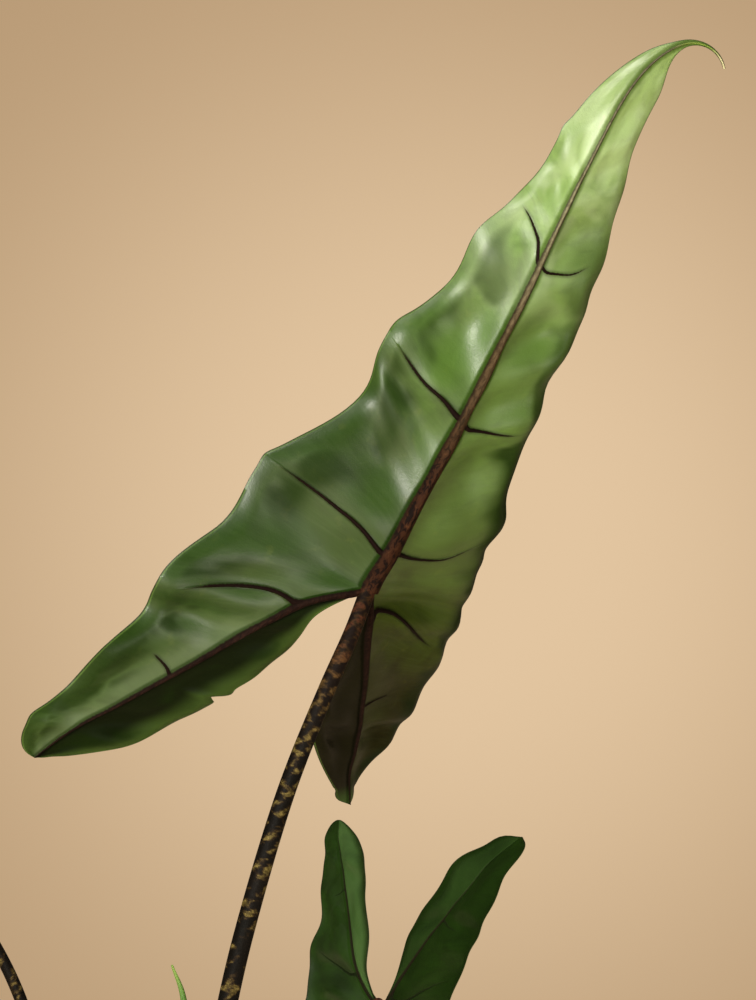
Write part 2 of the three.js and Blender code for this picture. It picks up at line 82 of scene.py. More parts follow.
def add_node(tree, kind, inputs=None, **settings):
    """Adds a node; inputs maps a socket's name or number to a value or to another node's output."""
    made = tree.nodes.new("ShaderNode" + kind)
    for name, value in settings.items():
        setattr(made, name, value)
    for socket, value in (inputs or {}).items():
        if isinstance(value, bpy.types.NodeSocket):
            tree.links.new(value, made.inputs[socket])
        else:
            made.inputs[socket].default_value = value
    return made


def calculate(tree, operation, a, b=0.0, *more):
    """A sum such as ADD or MULTIPLY, carried on over any further values."""
    result = add_node(tree, "Math", {0: a, 1: b}, operation=operation).outputs[0]
    return calculate(tree, operation, result, *more) if more else result


def times(tree, *values):
    """The product of several values."""
    return calculate(tree, "MULTIPLY", *values)


def plus(tree, *values):
    """The sum of several values."""
    return calculate(tree, "ADD", *values)


def most(tree, *values):
    """The largest of several values."""
    return calculate(tree, "MAXIMUM", *values)


def rest_of(tree, mask):
    """What a mask leaves free."""
    return calculate(tree, "SUBTRACT", 1.0, mask)


def mix_colour(tree, factor, a, b, kind="MIX"):
    """Colour a where factor is 0 and colour b where it is 1."""
    a, b = (paint(*colour) if isinstance(colour, tuple) else colour for colour in (a, b))
    return add_node(tree, "Mix", {0: factor, 6: a, 7: b}, data_type="RGBA", blend_type=kind).outputs[2]


def tinted(tree, colour, tint):
    """A colour seen through a tint."""
    return mix_colour(tree, 1.0, colour, tint, "MULTIPLY")


def coats(tree, colour, *layers):
    """Lays further colours over a colour, each where its own mask is 1."""
    for mask, layer in layers:
        colour = mix_colour(tree, mask, colour, layer)
    return colour


def rise(tree, value, low, high, to_low=0.0, to_high=1.0):
    """Goes smoothly from to_low to to_high as value goes from low to high."""
    inputs = {0: value, 1: low, 2: high, 3: to_low, 4: to_high}
    return add_node(tree, "MapRange", inputs, interpolation_type="SMOOTHSTEP").outputs[0]


def toned(tree, value, low, high, a, b):
    """Goes smoothly from colour a to colour b as value goes from low to high."""
    return mix_colour(tree, rise(tree, value, low, high), a, b)


def noise(tree, place, scale, detail=3.0, roughness=0.5, distortion=0.0):
    """Cloudy noise from 0 to 1, about 0.5 on average."""
    inputs = {"Vector": place, "Scale": scale, "Detail": detail, "Roughness": roughness}
    inputs["Distortion"] = distortion
    return add_node(tree, "TexNoise", inputs).outputs[0]


def drawn_out(tree, place, scales, detail, roughness, distortion):
    """Noise with its own scale along each axis."""
    scaled = add_node(tree, "Mapping", {"Vector": place, "Scale": scales}).outputs[0]
    return noise(tree, scaled, 1.0, detail, roughness, distortion)


def axes_of(tree, place):
    """The X, Y and Z of a place."""
    return add_node(tree, "SeparateXYZ", {0: place}).outputs


def bumps(tree, relief, depth, strength):
    """Fine relief for a shader, with its depth in metres."""
    return add_node(tree, "Bump", {"Height": relief, "Distance": depth, "Strength": strength}).outputs[0]


def coated(tree, colour, roughness, normal, shine=0.5):
    """A shader with a colour, a roughness, fine relief and a share of shine."""
    inputs = {"Base Color": colour, "Roughness": roughness, "Normal": normal, "Specular IOR Level": shine}
    return add_node(tree, "BsdfPrincipled", inputs)


def attribute(tree, name, output="Fac"):
    """A value that the mesh carries at each of its points."""
    return add_node(tree, "Attribute", attribute_name=name).outputs[output]


def new_material(name):
    """An empty material and its tree, with an output node."""
    material = bpy.data.materials.new(name)
    material.use_nodes = True
    material.node_tree.nodes.clear()
    add_node(material.node_tree, "OutputMaterial")
    return material, material.node_tree


def set_surface(tree, shader):
    """Joins a shader to the material's output."""
    output = next(n for n in tree.nodes if n.type == "OUTPUT_MATERIAL")
    tree.links.new(shader.outputs[0], output.inputs["Surface"])


print("helpers ready")

# %% [markdown]
# ## Floor, background and light
# The plant was photographed in front of a plain warm wall, with a soft pool of light behind it and darker
# edges. A wide floor that fades into the colour of the background stands for both floor and wall, so that
# no horizon shows. The fade is by distance from the plant, so it stays where it is in every view. Five soft
# lights shape the blades: the main one in front at the upper left, a weak one low in front, a small one low
# on the right, one above, and one above and behind that shines through the leaf skin.

# %% Floor and background
WALL_COLOUR = (226, 197, 160)
WALL_EDGE_COLOUR = (186, 156, 120)
POOL_CENTRE = (0.02, -0.01)
POOL_EDGE = (0.03, 0.2)
AMBIENT = 0.07
FLOOR_RADIUS = 2.4
FADE_START = 0.9
FADE_END = 2.3

bpy.ops.mesh.primitive_circle_add(vertices=96, radius=FLOOR_RADIUS, fill_type="NGON")
floor = bpy.context.object
floor.name = "floor"

floor_finish, tree = new_material("floor_finish")
place = add_node(tree, "TexCoord").outputs["Object"]
distance = add_node(tree, "VectorMath", {0: place}, operation="LENGTH").outputs["Value"]
matt = add_node(tree, "BsdfPrincipled", {"Base Color": paint(226, 204, 174), "Roughness": 0.85})
glow = add_node(tree, "Emission", {"Color": paint(*WALL_COLOUR), "Strength": 1.0})
fade = rise(tree, distance, FADE_START, FADE_END)
set_surface(tree, add_node(tree, "MixShader", {0: fade, 1: matt.outputs[0], 2: glow.outputs[0]}))
floor.data.materials.append(floor_finish)

world = bpy.data.worlds.new("world")
bpy.context.scene.world = world
world.use_nodes = True
world.node_tree.nodes.clear()
tree = world.node_tree
heading = axes_of(tree, add_node(tree, "TexCoord").outputs["Generated"])
from_side = calculate(tree, "SUBTRACT", heading["X"], POOL_CENTRE[0])
from_level = calculate(tree, "SUBTRACT", heading["Z"], POOL_CENTRE[1])
squares = plus(tree, times(tree, from_side, from_side), times(tree, from_level, from_level))
from_pool = calculate(tree, "SQRT", squares)
behind = rise(tree, heading["Y"], 0.8, 0.93)
shaded = times(tree, behind, rise(tree, from_pool, *POOL_EDGE))
wall = mix_colour(tree, shaded, WALL_COLOUR, WALL_EDGE_COLOUR)
seen = add_node(tree, "Background", {"Color": wall, "Strength": 1.0})
ambient = add_node(tree, "Background", {"Color": paint(222, 196, 156), "Strength": AMBIENT})
is_camera = add_node(tree, "LightPath").outputs["Is Camera Ray"]
mixed = add_node(tree, "MixShader", {0: is_camera, 1: ambient.outputs[0], 2: seen.outputs[0]})
tree.links.new(mixed.outputs[0], add_node(tree, "OutputWorld").inputs["Surface"])
bpy.context.scene.view_settings.view_transform = "Standard"
print("floor fades out between", FADE_START, "and", FADE_END, "m")

# %% Lights
LIGHT_TARGET = Vector((0.06, 0.0, 0.58))


def soft_light(name, place, size, power, colour):
    """A square soft light that looks at the middle of the plant."""
    bpy.ops.object.light_add(type="AREA", location=place)
    light = bpy.context.object
    light.name = name
    light.rotation_euler = (LIGHT_TARGET - Vector(place)).to_track_quat("-Z", "Y").to_euler()
    light.data.size = size
    light.data.energy = power
    light.data.color = paint(*colour)[:3]


soft_light("main_light", (-0.5, -1.5, 0.74), 0.5, 27, (255, 251, 240))
soft_light("fill_light", (0.35, -1.6, 0.25), 0.8, 3.5, (255, 246, 222))
soft_light("side_light", (1.15, -0.68, 0.16), 0.26, 2.4, (255, 251, 240))
soft_light("top_light", (-0.3, -0.6, 1.9), 0.7, 8, (255, 250, 240))
soft_light("through_light", (0.5, 1.1, 1.7), 0.8, 6, (255, 248, 232))

# %% [markdown]
# ## Small helpers for pieces
# A finished piece has its place in its mesh and its object at the origin. It rides on the plant's one body
# and stands for the plain solid that it replaces.


# %% Piece helpers
def select_only(piece):
    """Makes one piece the selected and active object."""
    bpy.ops.object.select_all(action="DESELECT")
    piece.select_set(True)
    bpy.context.view_layer.objects.active = piece


def edit(piece):
    """Goes into edit mode on one piece, with all of it selected."""
    select_only(piece)
    bpy.ops.object.mode_set(mode="EDIT")
    bpy.ops.mesh.select_all(action="SELECT")


def points_of(piece):
    """The places of a mesh's points as an array."""
    places = np.empty(len(piece.data.vertices) * 3)
    piece.data.vertices.foreach_get("co", places)
    return places.reshape(-1, 3)


def move_points(piece, places):
    """Puts a mesh's points where an array says."""
    piece.data.vertices.foreach_set("co", np.asarray(places, float).ravel())
    piece.data.update()


def carry(piece, name, values):
    """Stores a value or a vector at each point of a mesh, for its material to read."""
    values = np.asarray(values, float)
    kind = "FLOAT_VECTOR" if values.ndim == 2 else "FLOAT"
    made = piece.data.attributes.new(name, kind, "POINT")
    made.data.foreach_set("vector" if values.ndim == 2 else "value", values.ravel())


def carried(piece, name):
    """Reads back one stored value a point."""
    values = np.empty(len(piece.data.vertices))
    piece.data.attributes[name].data.foreach_get("value", values)
    return values


def finish_piece(piece, name, material, slot, *nodes):
    """Names a piece, gives it its finish, and sets it in the frame in place of the plain solids."""
    piece.name = name
    piece.data.name = name
    piece.data.materials.clear()
    piece.data.materials.append(material)
    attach(piece, "root")
    if nodes:
        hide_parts(*nodes)
    print(name, "has", len(piece.data.polygons), "faces")


print("piece helpers ready")

# %% [markdown]
# ## Grain that several finishes share
# Leaf skin and stalk skin have the same fine grain and cloudy tone, and so have fired clay and bark. Each
# effect is built once as a node group that puts out values only, and is placed in each material with its
# own scale.


# %% Shared grain groups
def new_group(name, inputs, outputs):
    """An empty node group with the named value or vector sockets."""
    group = bpy.data.node_groups.new(name, "ShaderNodeTree")
    for socket, kind in inputs.items():
        group.interface.new_socket(name=socket, in_out="INPUT", socket_type="NodeSocket" + kind)
    for socket in outputs:
        group.interface.new_socket(name=socket, in_out="OUTPUT", socket_type="NodeSocketFloat")
    into = group.nodes.new("NodeGroupInput")
    out = group.nodes.new("NodeGroupOutput")
    return group, into, out


plant_grain, into, out = new_group("plant_grain", {"Place": "Vector"}, ["Tone", "Grain"])
tone = noise(plant_grain, into.outputs["Place"], 0.045, 4, 0.55, 0.4)
cells = add_node(plant_grain, "TexVoronoi", {"Vector": into.outputs["Place"], "Scale": 1.6})
pores = noise(plant_grain, into.outputs["Place"], 0.7, 4, 0.6)
grain = plus(plant_grain, times(plant_grain, cells.outputs["Distance"], 0.4), pores)
plant_grain.links.new(tone, out.inputs["Tone"])
plant_grain.links.new(grain, out.inputs["Grain"])

earth_grain, into, out = new_group("earth_grain", {"Place": "Vector"}, ["Tone", "Grain", "Speckle"])
tone = noise(earth_grain, into.outputs["Place"], 14, 3, 0.5)
grain = noise(earth_grain, into.outputs["Place"], 900, 4, 0.65)
dots = add_node(earth_grain, "TexVoronoi", {"Vector": into.outputs["Place"], "Scale": 420.0})
speckle = rise(earth_grain, dots.outputs["Distance"], 0.28, 0.16)
earth_grain.links.new(tone, out.inputs["Tone"])
earth_grain.links.new(grain, out.inputs["Grain"])
earth_grain.links.new(speckle, out.inputs["Speckle"])


def use_group(tree, group, place):
    """Places a shared group in a material."""
    made = tree.nodes.new("ShaderNodeGroup")
    made.node_tree = group
    tree.links.new(place, made.inputs["Place"])
    return made.outputs


print("shared groups:", [g.name for g in bpy.data.node_groups])

# %% [markdown]
# ## The pot
# A plain round stoneware pot: a wall that leans out, a rounded rim and a small round at the foot. It could
# be a profile spun about its axis, but a potter's way is as short: start with the round base, pull the wall
# up and out, turn the rim inwards, and press the inside down to the floor. Bevels round the edges at the
# end.

# %% Pot shape
POT_HEIGHT = 150
POT_TOP_RADIUS = 85
POT_BASE_RADIUS = 62
POT_WALL = 5
POT_FLOOR = 7
RIM_ROUND = 2.4
FOOT_ROUND = 3
POT_SIDES = 128

bpy.ops.object.select_all(action="DESELECT")
bpy.ops.mesh.primitive_circle_add(vertices=POT_SIDES, radius=POT_BASE_RADIUS * MM, fill_type="NGON")
pot = bpy.context.object
edit(pot)
bpy.ops.mesh.extrude_region_move(TRANSFORM_OT_translate={"value": (0, 0, POT_HEIGHT * MM)})
lean = POT_TOP_RADIUS / POT_BASE_RADIUS
bpy.ops.transform.resize(value=(lean, lean, 1))
bpy.ops.mesh.inset(thickness=POT_WALL * MM)
inner_top = POT_TOP_RADIUS - POT_WALL
slope = (POT_TOP_RADIUS - POT_BASE_RADIUS) / POT_HEIGHT
inner_floor = inner_top - slope * (POT_HEIGHT - POT_FLOOR)
bpy.ops.mesh.extrude_region_move(TRANSFORM_OT_translate={"value": (0, 0, (POT_FLOOR - POT_HEIGHT) * MM)})
bpy.ops.transform.resize(value=(inner_floor / inner_top, inner_floor / inner_top, 1))
bpy.ops.mesh.select_all(action="SELECT")
bpy.ops.mesh.normals_make_consistent(inside=False)
bpy.ops.object.mode_set(mode="OBJECT")


def select_ring(piece, height, radius):
    """Selects the round edge at a height and a radius in mm, in edit mode."""
    select_only(piece)
    bpy.ops.object.mode_set(mode="EDIT")
    bpy.ops.mesh.select_all(action="DESELECT")
    bpy.ops.mesh.select_mode(type="VERT")
    bpy.ops.object.mode_set(mode="OBJECT")
    places = points_of(piece) / MM
    near = np.abs(places[:, 2] - height) < 0.1
    near &= np.abs(np.hypot(places[:, 0], places[:, 1]) - radius) < 0.3
    piece.data.vertices.foreach_set("select", near)
    bpy.ops.object.mode_set(mode="EDIT")
    bpy.ops.mesh.select_mode(type="EDGE")


rings = [
    (POT_HEIGHT, POT_TOP_RADIUS, RIM_ROUND, 6),
    (POT_HEIGHT, inner_top, RIM_ROUND, 6),
    (0, POT_BASE_RADIUS, FOOT_ROUND, 4),
    (POT_FLOOR, inner_floor, FOOT_ROUND, 4),
]
for height, radius, size, segments in rings:
    select_ring(pot, height, radius)
    bpy.ops.mesh.bevel(offset=size * MM, segments=segments, profile=0.5)
    bpy.ops.object.mode_set(mode="OBJECT")
bpy.ops.object.shade_smooth_by_angle(angle=np.radians(40))
print("pot wall leans out by", round(1000 * slope, 1), "mm a metre")

# %% [markdown]
# ## The pot's finish
# Unglazed stoneware is matt and slightly uneven in tone, with fine dark specks of iron and a faint trace of
# the potter's fingers round the wall. The specks and grain come from the shared group. The faint rings are
# bump that runs with the height alone.

# %% Stoneware
RING_RATE = 900

stoneware, tree = new_material("stoneware")
place = add_node(tree, "TexCoord").outputs["Object"]
earth = use_group(tree, earth_grain, place)
body = coats(
    tree,
    toned(tree, earth["Tone"], 0.3, 0.7, (214, 203, 184), (228, 219, 202)),
    (rise(tree, noise(tree, place, 160, 3), 0.3, 0.75, 0.0, 0.22), (190, 174, 150)),
    (times(tree, earth["Speckle"], 0.5), (120, 96, 72)),
)
wobble = times(tree, noise(tree, place, 9, 1), 9)
finger_rings = calculate(tree, "SINE", plus(tree, times(tree, axes_of(tree, place)["Z"], RING_RATE), wobble))
relief = plus(tree, times(tree, finger_rings, 0.3), earth["Grain"])
roughness = rise(tree, earth["Tone"], 0.2, 0.8, 0.62, 0.78)
set_surface(tree, coated(tree, body, roughness, bumps(tree, relief, 0.0004, 0.35)))
finish_piece(pot, "pot_body", stoneware, "pot", "pot")

# %% [markdown]
# ## The soil
# Aroid mix is a low mound of dark peat with bark chips and a few white grains of perlite. The body is one
# closed form: the round floor is pulled up to the top, and its face is inset ring by ring so that there are
# points to lift into the mound. The same gentle lumps as in the plain solid are added by a formula, in
# millimetres.

# %% Soil body
SOIL_TOP = 134
SOIL_BULGE = 7
SOIL_GAP = 0.3
SOIL_RINGS = 34
SOIL_SIDES = 96
EDGE_BAND = 2
# x, y and radius of each stalk where it leaves the soil, in mm
STEM_FEET = {"main": (7, 5, 7.5), "front": (10, -16, 6), "left": (-15, -3, 5.6), "new": (-5, 17, 5)}


def pot_inside(height):
    """The pot's inner radius at a height, in mm."""
    lean_out = (POT_TOP_RADIUS - POT_BASE_RADIUS) * height / POT_HEIGHT
    return POT_BASE_RADIUS + lean_out - POT_WALL


SOIL_RADIUS = pot_inside(SOIL_TOP) - SOIL_GAP


def soil_height(x, y):
    """The height of the mound at a place, in mm: a bulge, soft lumps and a small collar round each stem."""
    share = np.minimum(np.hypot(x, y) / SOIL_RADIUS, 1)
    height = SOIL_TOP + SOIL_BULGE * (1 - share**2) ** 1.5
    height += 1.1 * np.sin(x * 0.21 + 0.6 * np.sin(y * 0.13)) * np.cos(y * 0.17 + 1.3)
    height += 0.5 * np.sin(x * 0.43 + y * 0.37)
    for foot_x, foot_y, radius in STEM_FEET.values():
        away = np.hypot(x - foot_x, y - foot_y) - radius
        height += 1.0 * np.exp(-((np.maximum(away, 0) / 4) ** 2))
    return height


soil_floor = POT_FLOOR + SOIL_GAP
floor_radius = pot_inside(soil_floor) - SOIL_GAP - FOOT_ROUND
bpy.ops.object.select_all(action="DESELECT")
bpy.ops.mesh.primitive_circle_add(
    vertices=SOIL_SIDES, radius=floor_radius * MM, fill_type="NGON", location=(0, 0, soil_floor * MM)
)
soil = bpy.context.object
select_only(soil)
bpy.ops.object.transform_apply(location=True)
edit(soil)
soil_wall = (SOIL_TOP - EDGE_BAND - soil_floor) * MM
bpy.ops.mesh.extrude_region_move(TRANSFORM_OT_translate={"value": (0, 0, soil_wall)})
wider = SOIL_RADIUS / floor_radius
bpy.ops.transform.resize(value=(wider, wider, 1))
bpy.ops.mesh.extrude_region_move(TRANSFORM_OT_translate={"value": (0, 0, EDGE_BAND * MM)})
for _ in range(SOIL_RINGS - 1):
    bpy.ops.mesh.inset(thickness=SOIL_RADIUS / SOIL_RINGS * MM)
bpy.ops.mesh.poke()
bpy.ops.mesh.select_all(action="SELECT")
bpy.ops.mesh.normals_make_consistent(inside=False)
bpy.ops.object.mode_set(mode="OBJECT")

places = points_of(soil) / MM
top = places[:, 2] > SOIL_TOP - 0.5
random = np.random.default_rng(7)
places[top, 2] = soil_height(places[top, 0], places[top, 1]) + random.normal(0, 0.35, top.sum())
move_points(soil, places * MM)
bpy.ops.object.shade_smooth()
carry(soil, "tone", np.full(len(places), 0.3))
carry(soil, "sort", np.zeros(len(places)))
print("soil radius", round(SOIL_RADIUS, 1), "mm, mound", round(places[:, 2].max(), 1), "mm high")

# %% [markdown]
# ## Bark, crumbs and perlite
# What makes soil look like soil is the loose stuff on top. Three small shapes are modelled once: a bark
# chip from a bevelled block, and a crumb and a perlite grain from small spheres with their points pushed
# about. Thousands of copies are then strewn by a seeded rule and kept as one piece, with a tone stored in
# each copy.


# %% Loose shapes
def rough_shape(kind, roughness, seed):
    """One loose shape about 1 across, as an array of points and a list of faces."""
    bpy.ops.object.select_all(action="DESELECT")
    if kind == "chip":
        bpy.ops.mesh.primitive_cube_add(size=1)
        made = bpy.context.object
        edit(made)
        bpy.ops.mesh.bevel(offset=0.17, segments=1)
    else:
        bpy.ops.mesh.primitive_ico_sphere_add(subdivisions=2 if kind == "perlite" else 1, radius=0.5)
        made = bpy.context.object
        edit(made)
    bpy.ops.mesh.quads_convert_to_tris()
    bpy.ops.object.mode_set(mode="OBJECT")
    places = points_of(made)
    places += np.random.default_rng(seed).normal(0, roughness, places.shape)
    faces = [list(face.vertices) for face in made.data.polygons]
    bpy.data.objects.remove(made, do_unlink=True)
    return places, np.array(faces)


SHAPES = {
    "chip": [rough_shape("chip", 0.07, seed) for seed in (1, 2, 3)],
    "crumb": [rough_shape("crumb", 0.07, seed) for seed in (4, 5, 6)],
    "perlite": [rough_shape("perlite", 0.035, seed) for seed in (8, 9)],
}
print({name: [len(faces) for _, faces in shapes] for name, shapes in SHAPES.items()}, "faces each")

# %% Strewing
STREWN_SHARE = 0.985
# kind, count, size range in mm, thickness and breadth against length, how far it sinks in, number of its sort
STREWN = [
    ("crumb", 3000, (1.2, 3.2), (0.75, 0.9), 0.25, 0),
    ("chip", 620, (3.5, 10.5), (0.32, 0.62), 0.22, 1),
    ("perlite", 70, (1.6, 3.4), (0.85, 0.95), 0.1, 2),
]


def turn_matrix(spin, tilt, lean_to):
    """Turns about the upright axis by spin, then tips by tilt towards the direction lean_to."""
    c, s = np.cos(spin), np.sin(spin)
    about_z = np.array([[c, -s, 0], [s, c, 0], [0, 0, 1]])
    axis = np.array([np.cos(lean_to), np.sin(lean_to), 0])
    cross = np.array([[0, -axis[2], axis[1]], [axis[2], 0, -axis[0]], [-axis[1], axis[0], 0]])
    tip = np.eye(3) + np.sin(tilt) * cross + (1 - np.cos(tilt)) * cross @ cross
    return tip @ about_z


random = np.random.default_rng(21)
all_places, all_faces, tones, sorts = [], [], [], []
count = 0
for kind, number, (small, large), (thick, broad), sunk, sort in STREWN:
    for _ in range(number):
        away = SOIL_RADIUS * np.sqrt(random.random()) * STREWN_SHARE
        angle = random.random() * 2 * np.pi
        x, y = away * np.cos(angle), away * np.sin(angle)
        size = small + (large - small) * random.random() ** 2
        if any(np.hypot(x - fx, y - fy) < r + size * 0.3 for fx, fy, r in STEM_FEET.values()):
            continue
        if away + size / 2 > SOIL_RADIUS:
            size = max(1.0, 2 * (SOIL_RADIUS - away))
        shape, faces = SHAPES[kind][random.integers(len(SHAPES[kind]))]
        turn = turn_matrix(random.random() * 7, random.normal(0, 0.3), random.random() * 7)
        body = (shape * size * np.array([1, broad, thick])) @ turn.T
        height = soil_height(x, y) + size * thick * (0.5 - sunk)
        all_places.append(body + np.array([x, y, height]))
        all_faces.append(faces + count)
        count += len(shape)
        tones.append(np.full(len(shape), random.random()))
        sorts.append(np.full(len(shape), sort))

mesh = bpy.data.meshes.new("soil_crumbs")
mesh.from_pydata((np.concatenate(all_places) * MM).tolist(), [], np.concatenate(all_faces).tolist())
crumbs = bpy.data.objects.new("soil_crumbs", mesh)
bpy.context.collection.objects.link(crumbs)
carry(crumbs, "tone", np.concatenate(tones))
carry(crumbs, "sort", np.concatenate(sorts))
print("strewn pieces:", len(all_faces), "faces:", len(mesh.polygons))

# %% Soil finish
potting_mix, tree = new_material("potting_mix")
place = add_node(tree, "TexCoord").outputs["Object"]
earth = use_group(tree, earth_grain, place)
tone = attribute(tree, "tone")
sort = attribute(tree, "sort")
peat = mix_colour(tree, tone, (38, 26, 19), (70, 48, 34))
peat = coats(tree, peat, (rise(tree, earth["Grain"], 0.35, 0.7), (52, 37, 27)))
streaks = drawn_out(tree, place, (300, 300, 1400), 3, 0.6, 0.6)
bark = mix_colour(tree, tone, (62, 38, 25), (134, 92, 60))
bark = coats(tree, bark, (rise(tree, streaks, 0.35, 0.7, 0.0, 0.5), (40, 25, 18)))
white = mix_colour(tree, earth["Grain"], (206, 200, 188), (240, 238, 230))
colour = coats(tree, peat, (rise(tree, sort, 0.4, 0.6), bark), (rise(tree, sort, 1.4, 1.6), white))
set_surface(tree, coated(tree, colour, 0.92, bumps(tree, earth["Grain"], 0.0006, 0.7)))
finish_piece(soil, "soil_mound", potting_mix, "soil", "soil")
finish_piece(crumbs, "soil_crumbs", potting_mix, "soil", "soil")

# %% [markdown]
# ## The stalks
# Each stalk is a round rod bent along a smooth line: widest in the soil, where its sheath wraps the next one,
# and slim above. A grid can be rolled into such a tube by one formula, and because each point knows its share
# of the length and its angle, the same numbers later carry the tiger bands. The line through the named points
# is the same curve that the plain solids follow.


# %% Rods
def curve_through(points, samples=60):
    """Places spread evenly along a smooth curve through the points, with their directions, in mm."""
    points = np.asarray(points, float)
    points = np.vstack([2 * points[0] - points[1], points, 2 * points[-1] - points[-2]])
    pieces = []
    for a, b, c, d in zip(points, points[1:], points[2:], points[3:]):
        steps = [np.sum((q - p) ** 2) ** 0.25 for p, q in ((a, b), (b, c), (c, d))]
        s0, s1, s2 = steps
        leave = ((b - a) / s0 - (c - a) / (s0 + s1) + (c - b) / s1) * s1
        reach = ((c - b) / s1 - (d - b) / (s1 + s2) + (d - c) / s2) * s1
        f = np.linspace(0, 1, samples, endpoint=False)[:, None]
        cubic = (2 * b - 2 * c + leave + reach) * f**3 + (3 * c - 3 * b - 2 * leave - reach) * f**2
        pieces.append(cubic + leave * f + b)
    return np.vstack([*pieces, points[-2]])


def even_places(line, count):
    """count places at even distances along a line of points, and the line's length."""
    lengths = np.concatenate([[0], np.cumsum(np.linalg.norm(np.diff(line, axis=0), axis=1))])
    at = np.linspace(0, lengths[-1], count)
    return np.stack([np.interp(at, lengths, line[:, axis]) for axis in range(3)], 1), lengths[-1]


def steady_sides(line):
    """Two directions square to the line at each of its places, that turn with it and never twist."""
    ahead = np.gradient(line, axis=0)
    ahead /= np.linalg.norm(ahead, axis=1)[:, None]
    side = np.cross(ahead[0], [0, 1, 0])
    sides = []
    for direction in ahead:
        side = side - direction * (side @ direction)
        side /= np.linalg.norm(side)
        sides.append(side)
    sides = np.array(sides)
    return sides, np.cross(ahead, sides)


def rolled_rod(path, outline, sides, rings):
    """A closed rod round a path; outline(share, angle) gives its radius in mm."""
    bpy.ops.object.select_all(action="DESELECT")
    bpy.ops.mesh.primitive_grid_add(x_subdivisions=rings + 2, y_subdivisions=sides, size=1)
    rod = bpy.context.object
    flat = points_of(rod)
    step = np.round((flat[:, 0] + 0.5) * (rings + 2)).astype(int)
    angle = (flat[:, 1] + 0.5) * 2 * np.pi
    line, length = even_places(curve_through(path), rings + 1)
    first, second = steady_sides(line)
    ring = np.clip(step - 1, 0, rings)
    share = ring / rings
    radius = np.where((step == 0) | (step == rings + 2), 0, outline(share, angle))
    x, y = radius * np.cos(angle), radius * np.sin(angle)
    move_points(rod, (line[ring] + first[ring] * x[:, None] + second[ring] * y[:, None]) * MM)
    carry(rod, "rod", np.stack([x, y, share * length], 1))
    carry(rod, "share", share)
    edit(rod)
    bpy.ops.mesh.remove_doubles(threshold=0.002 * MM)
    bpy.ops.mesh.normals_make_consistent(inside=False)
    bpy.ops.object.mode_set(mode="OBJECT")
    bpy.ops.object.shade_smooth_by_angle(angle=np.radians(50))
    return rod


def smooth_step(value, low, high):
    """0 below low, 1 above high, and a smooth rise between them."""
    share = np.clip((value - low) / (high - low), 0, 1)
    return share**2 * (3 - 2 * share)


print("rod helpers ready")

# %% Stalk shapes
STEM_FOOT = 62
UPRIGHT_HEIGHTS = (STEM_FOOT, 120, 146, 156)
SHEATH_SHARE = 0.42
STALK_SIDES = 40
RING_SPACING = 2.6
# path above the upright foot, radii in the middle and at the top, and where the sheath's seam is, in radians
STALKS = {
    "main": (
        [
            (9.5, 2, 215), (17, -4, 294), (33, -9, 378), (41.2, -10, 412), (57.8, -8, 467), (74.2, -2.5, 508),
            (85.3, 4.5, 533), (92.4, 13.5, 552),
        ],
        (4.5, 3.4),
        2.6,
    ),
    "front": (
        [(15, -21, 205), (34, -33, 285), (63, -54, 350), (84.5, -77, 380.5), (96.2, -98, 390)],
        (3.3, 2.5),
        1.2,
    ),
    "left": (
        [
            (-20, -2, 210), (-34, 0, 300), (-54.2, 0, 378), (-71.5, -1, 412), (-93, -3, 443),
            (-123, -6, 462.5),
        ],
        (2.9, 2.2),
        0.3,
    ),
    "new": ([(-4, 16, 200), (1, 12, 244)], (3.8, 3.3), 4.2),
}


def stalk_outline(radii, groove):
    """The radius of a stalk by share and angle, with the open seam of its sheath low down."""
    foot, middle, top = radii

    def outline(share, angle):
        fade = smooth_step(share, 0.35 * SHEATH_SHARE, SHEATH_SHARE)
        above = np.maximum(0, (share - SHEATH_SHARE) / (1 - SHEATH_SHARE)) ** 1.5
        radius = foot + (middle - foot) * fade + (top - middle) * above
        off_seam = np.abs((angle - groove + np.pi) % (2 * np.pi) - np.pi)
        seam = -0.2 * np.exp(-((off_seam / 0.22) ** 2)) + 0.07 * np.exp(-(((off_seam - 0.42) / 0.16) ** 2))
        return radius * (1 + seam * (1 - smooth_step(share, 0.28, 0.5)))

    return outline


stalks = {}
for name, (upper_path, upper_radii, seam_angle) in STALKS.items():
    x, y, foot_radius = STEM_FEET[name]
    path = [(x, y, height) for height in UPRIGHT_HEIGHTS] + upper_path
    rings = int((path[-1][2] - STEM_FOOT) / RING_SPACING)
    outline = stalk_outline((foot_radius, *upper_radii), seam_angle)
    stalks[name] = rolled_rod(path, outline, STALK_SIDES, rings)
print("stalks:", {name: len(stalk.data.polygons) for name, stalk in stalks.items()})

# %% [markdown]
# ## Stalk skin
# The stalks are near black, with broken zigzag bands of tan and olive that run part of the way round, and
# rust brown at their fringes. Near the blade the bands turn a reddish brown. Noise that is drawn out
# unevenly and bent by distortion gives such bands, with a faint slanting wave in it. It reads the
# coordinates of the rod before it was bent, so the bands follow every curve.

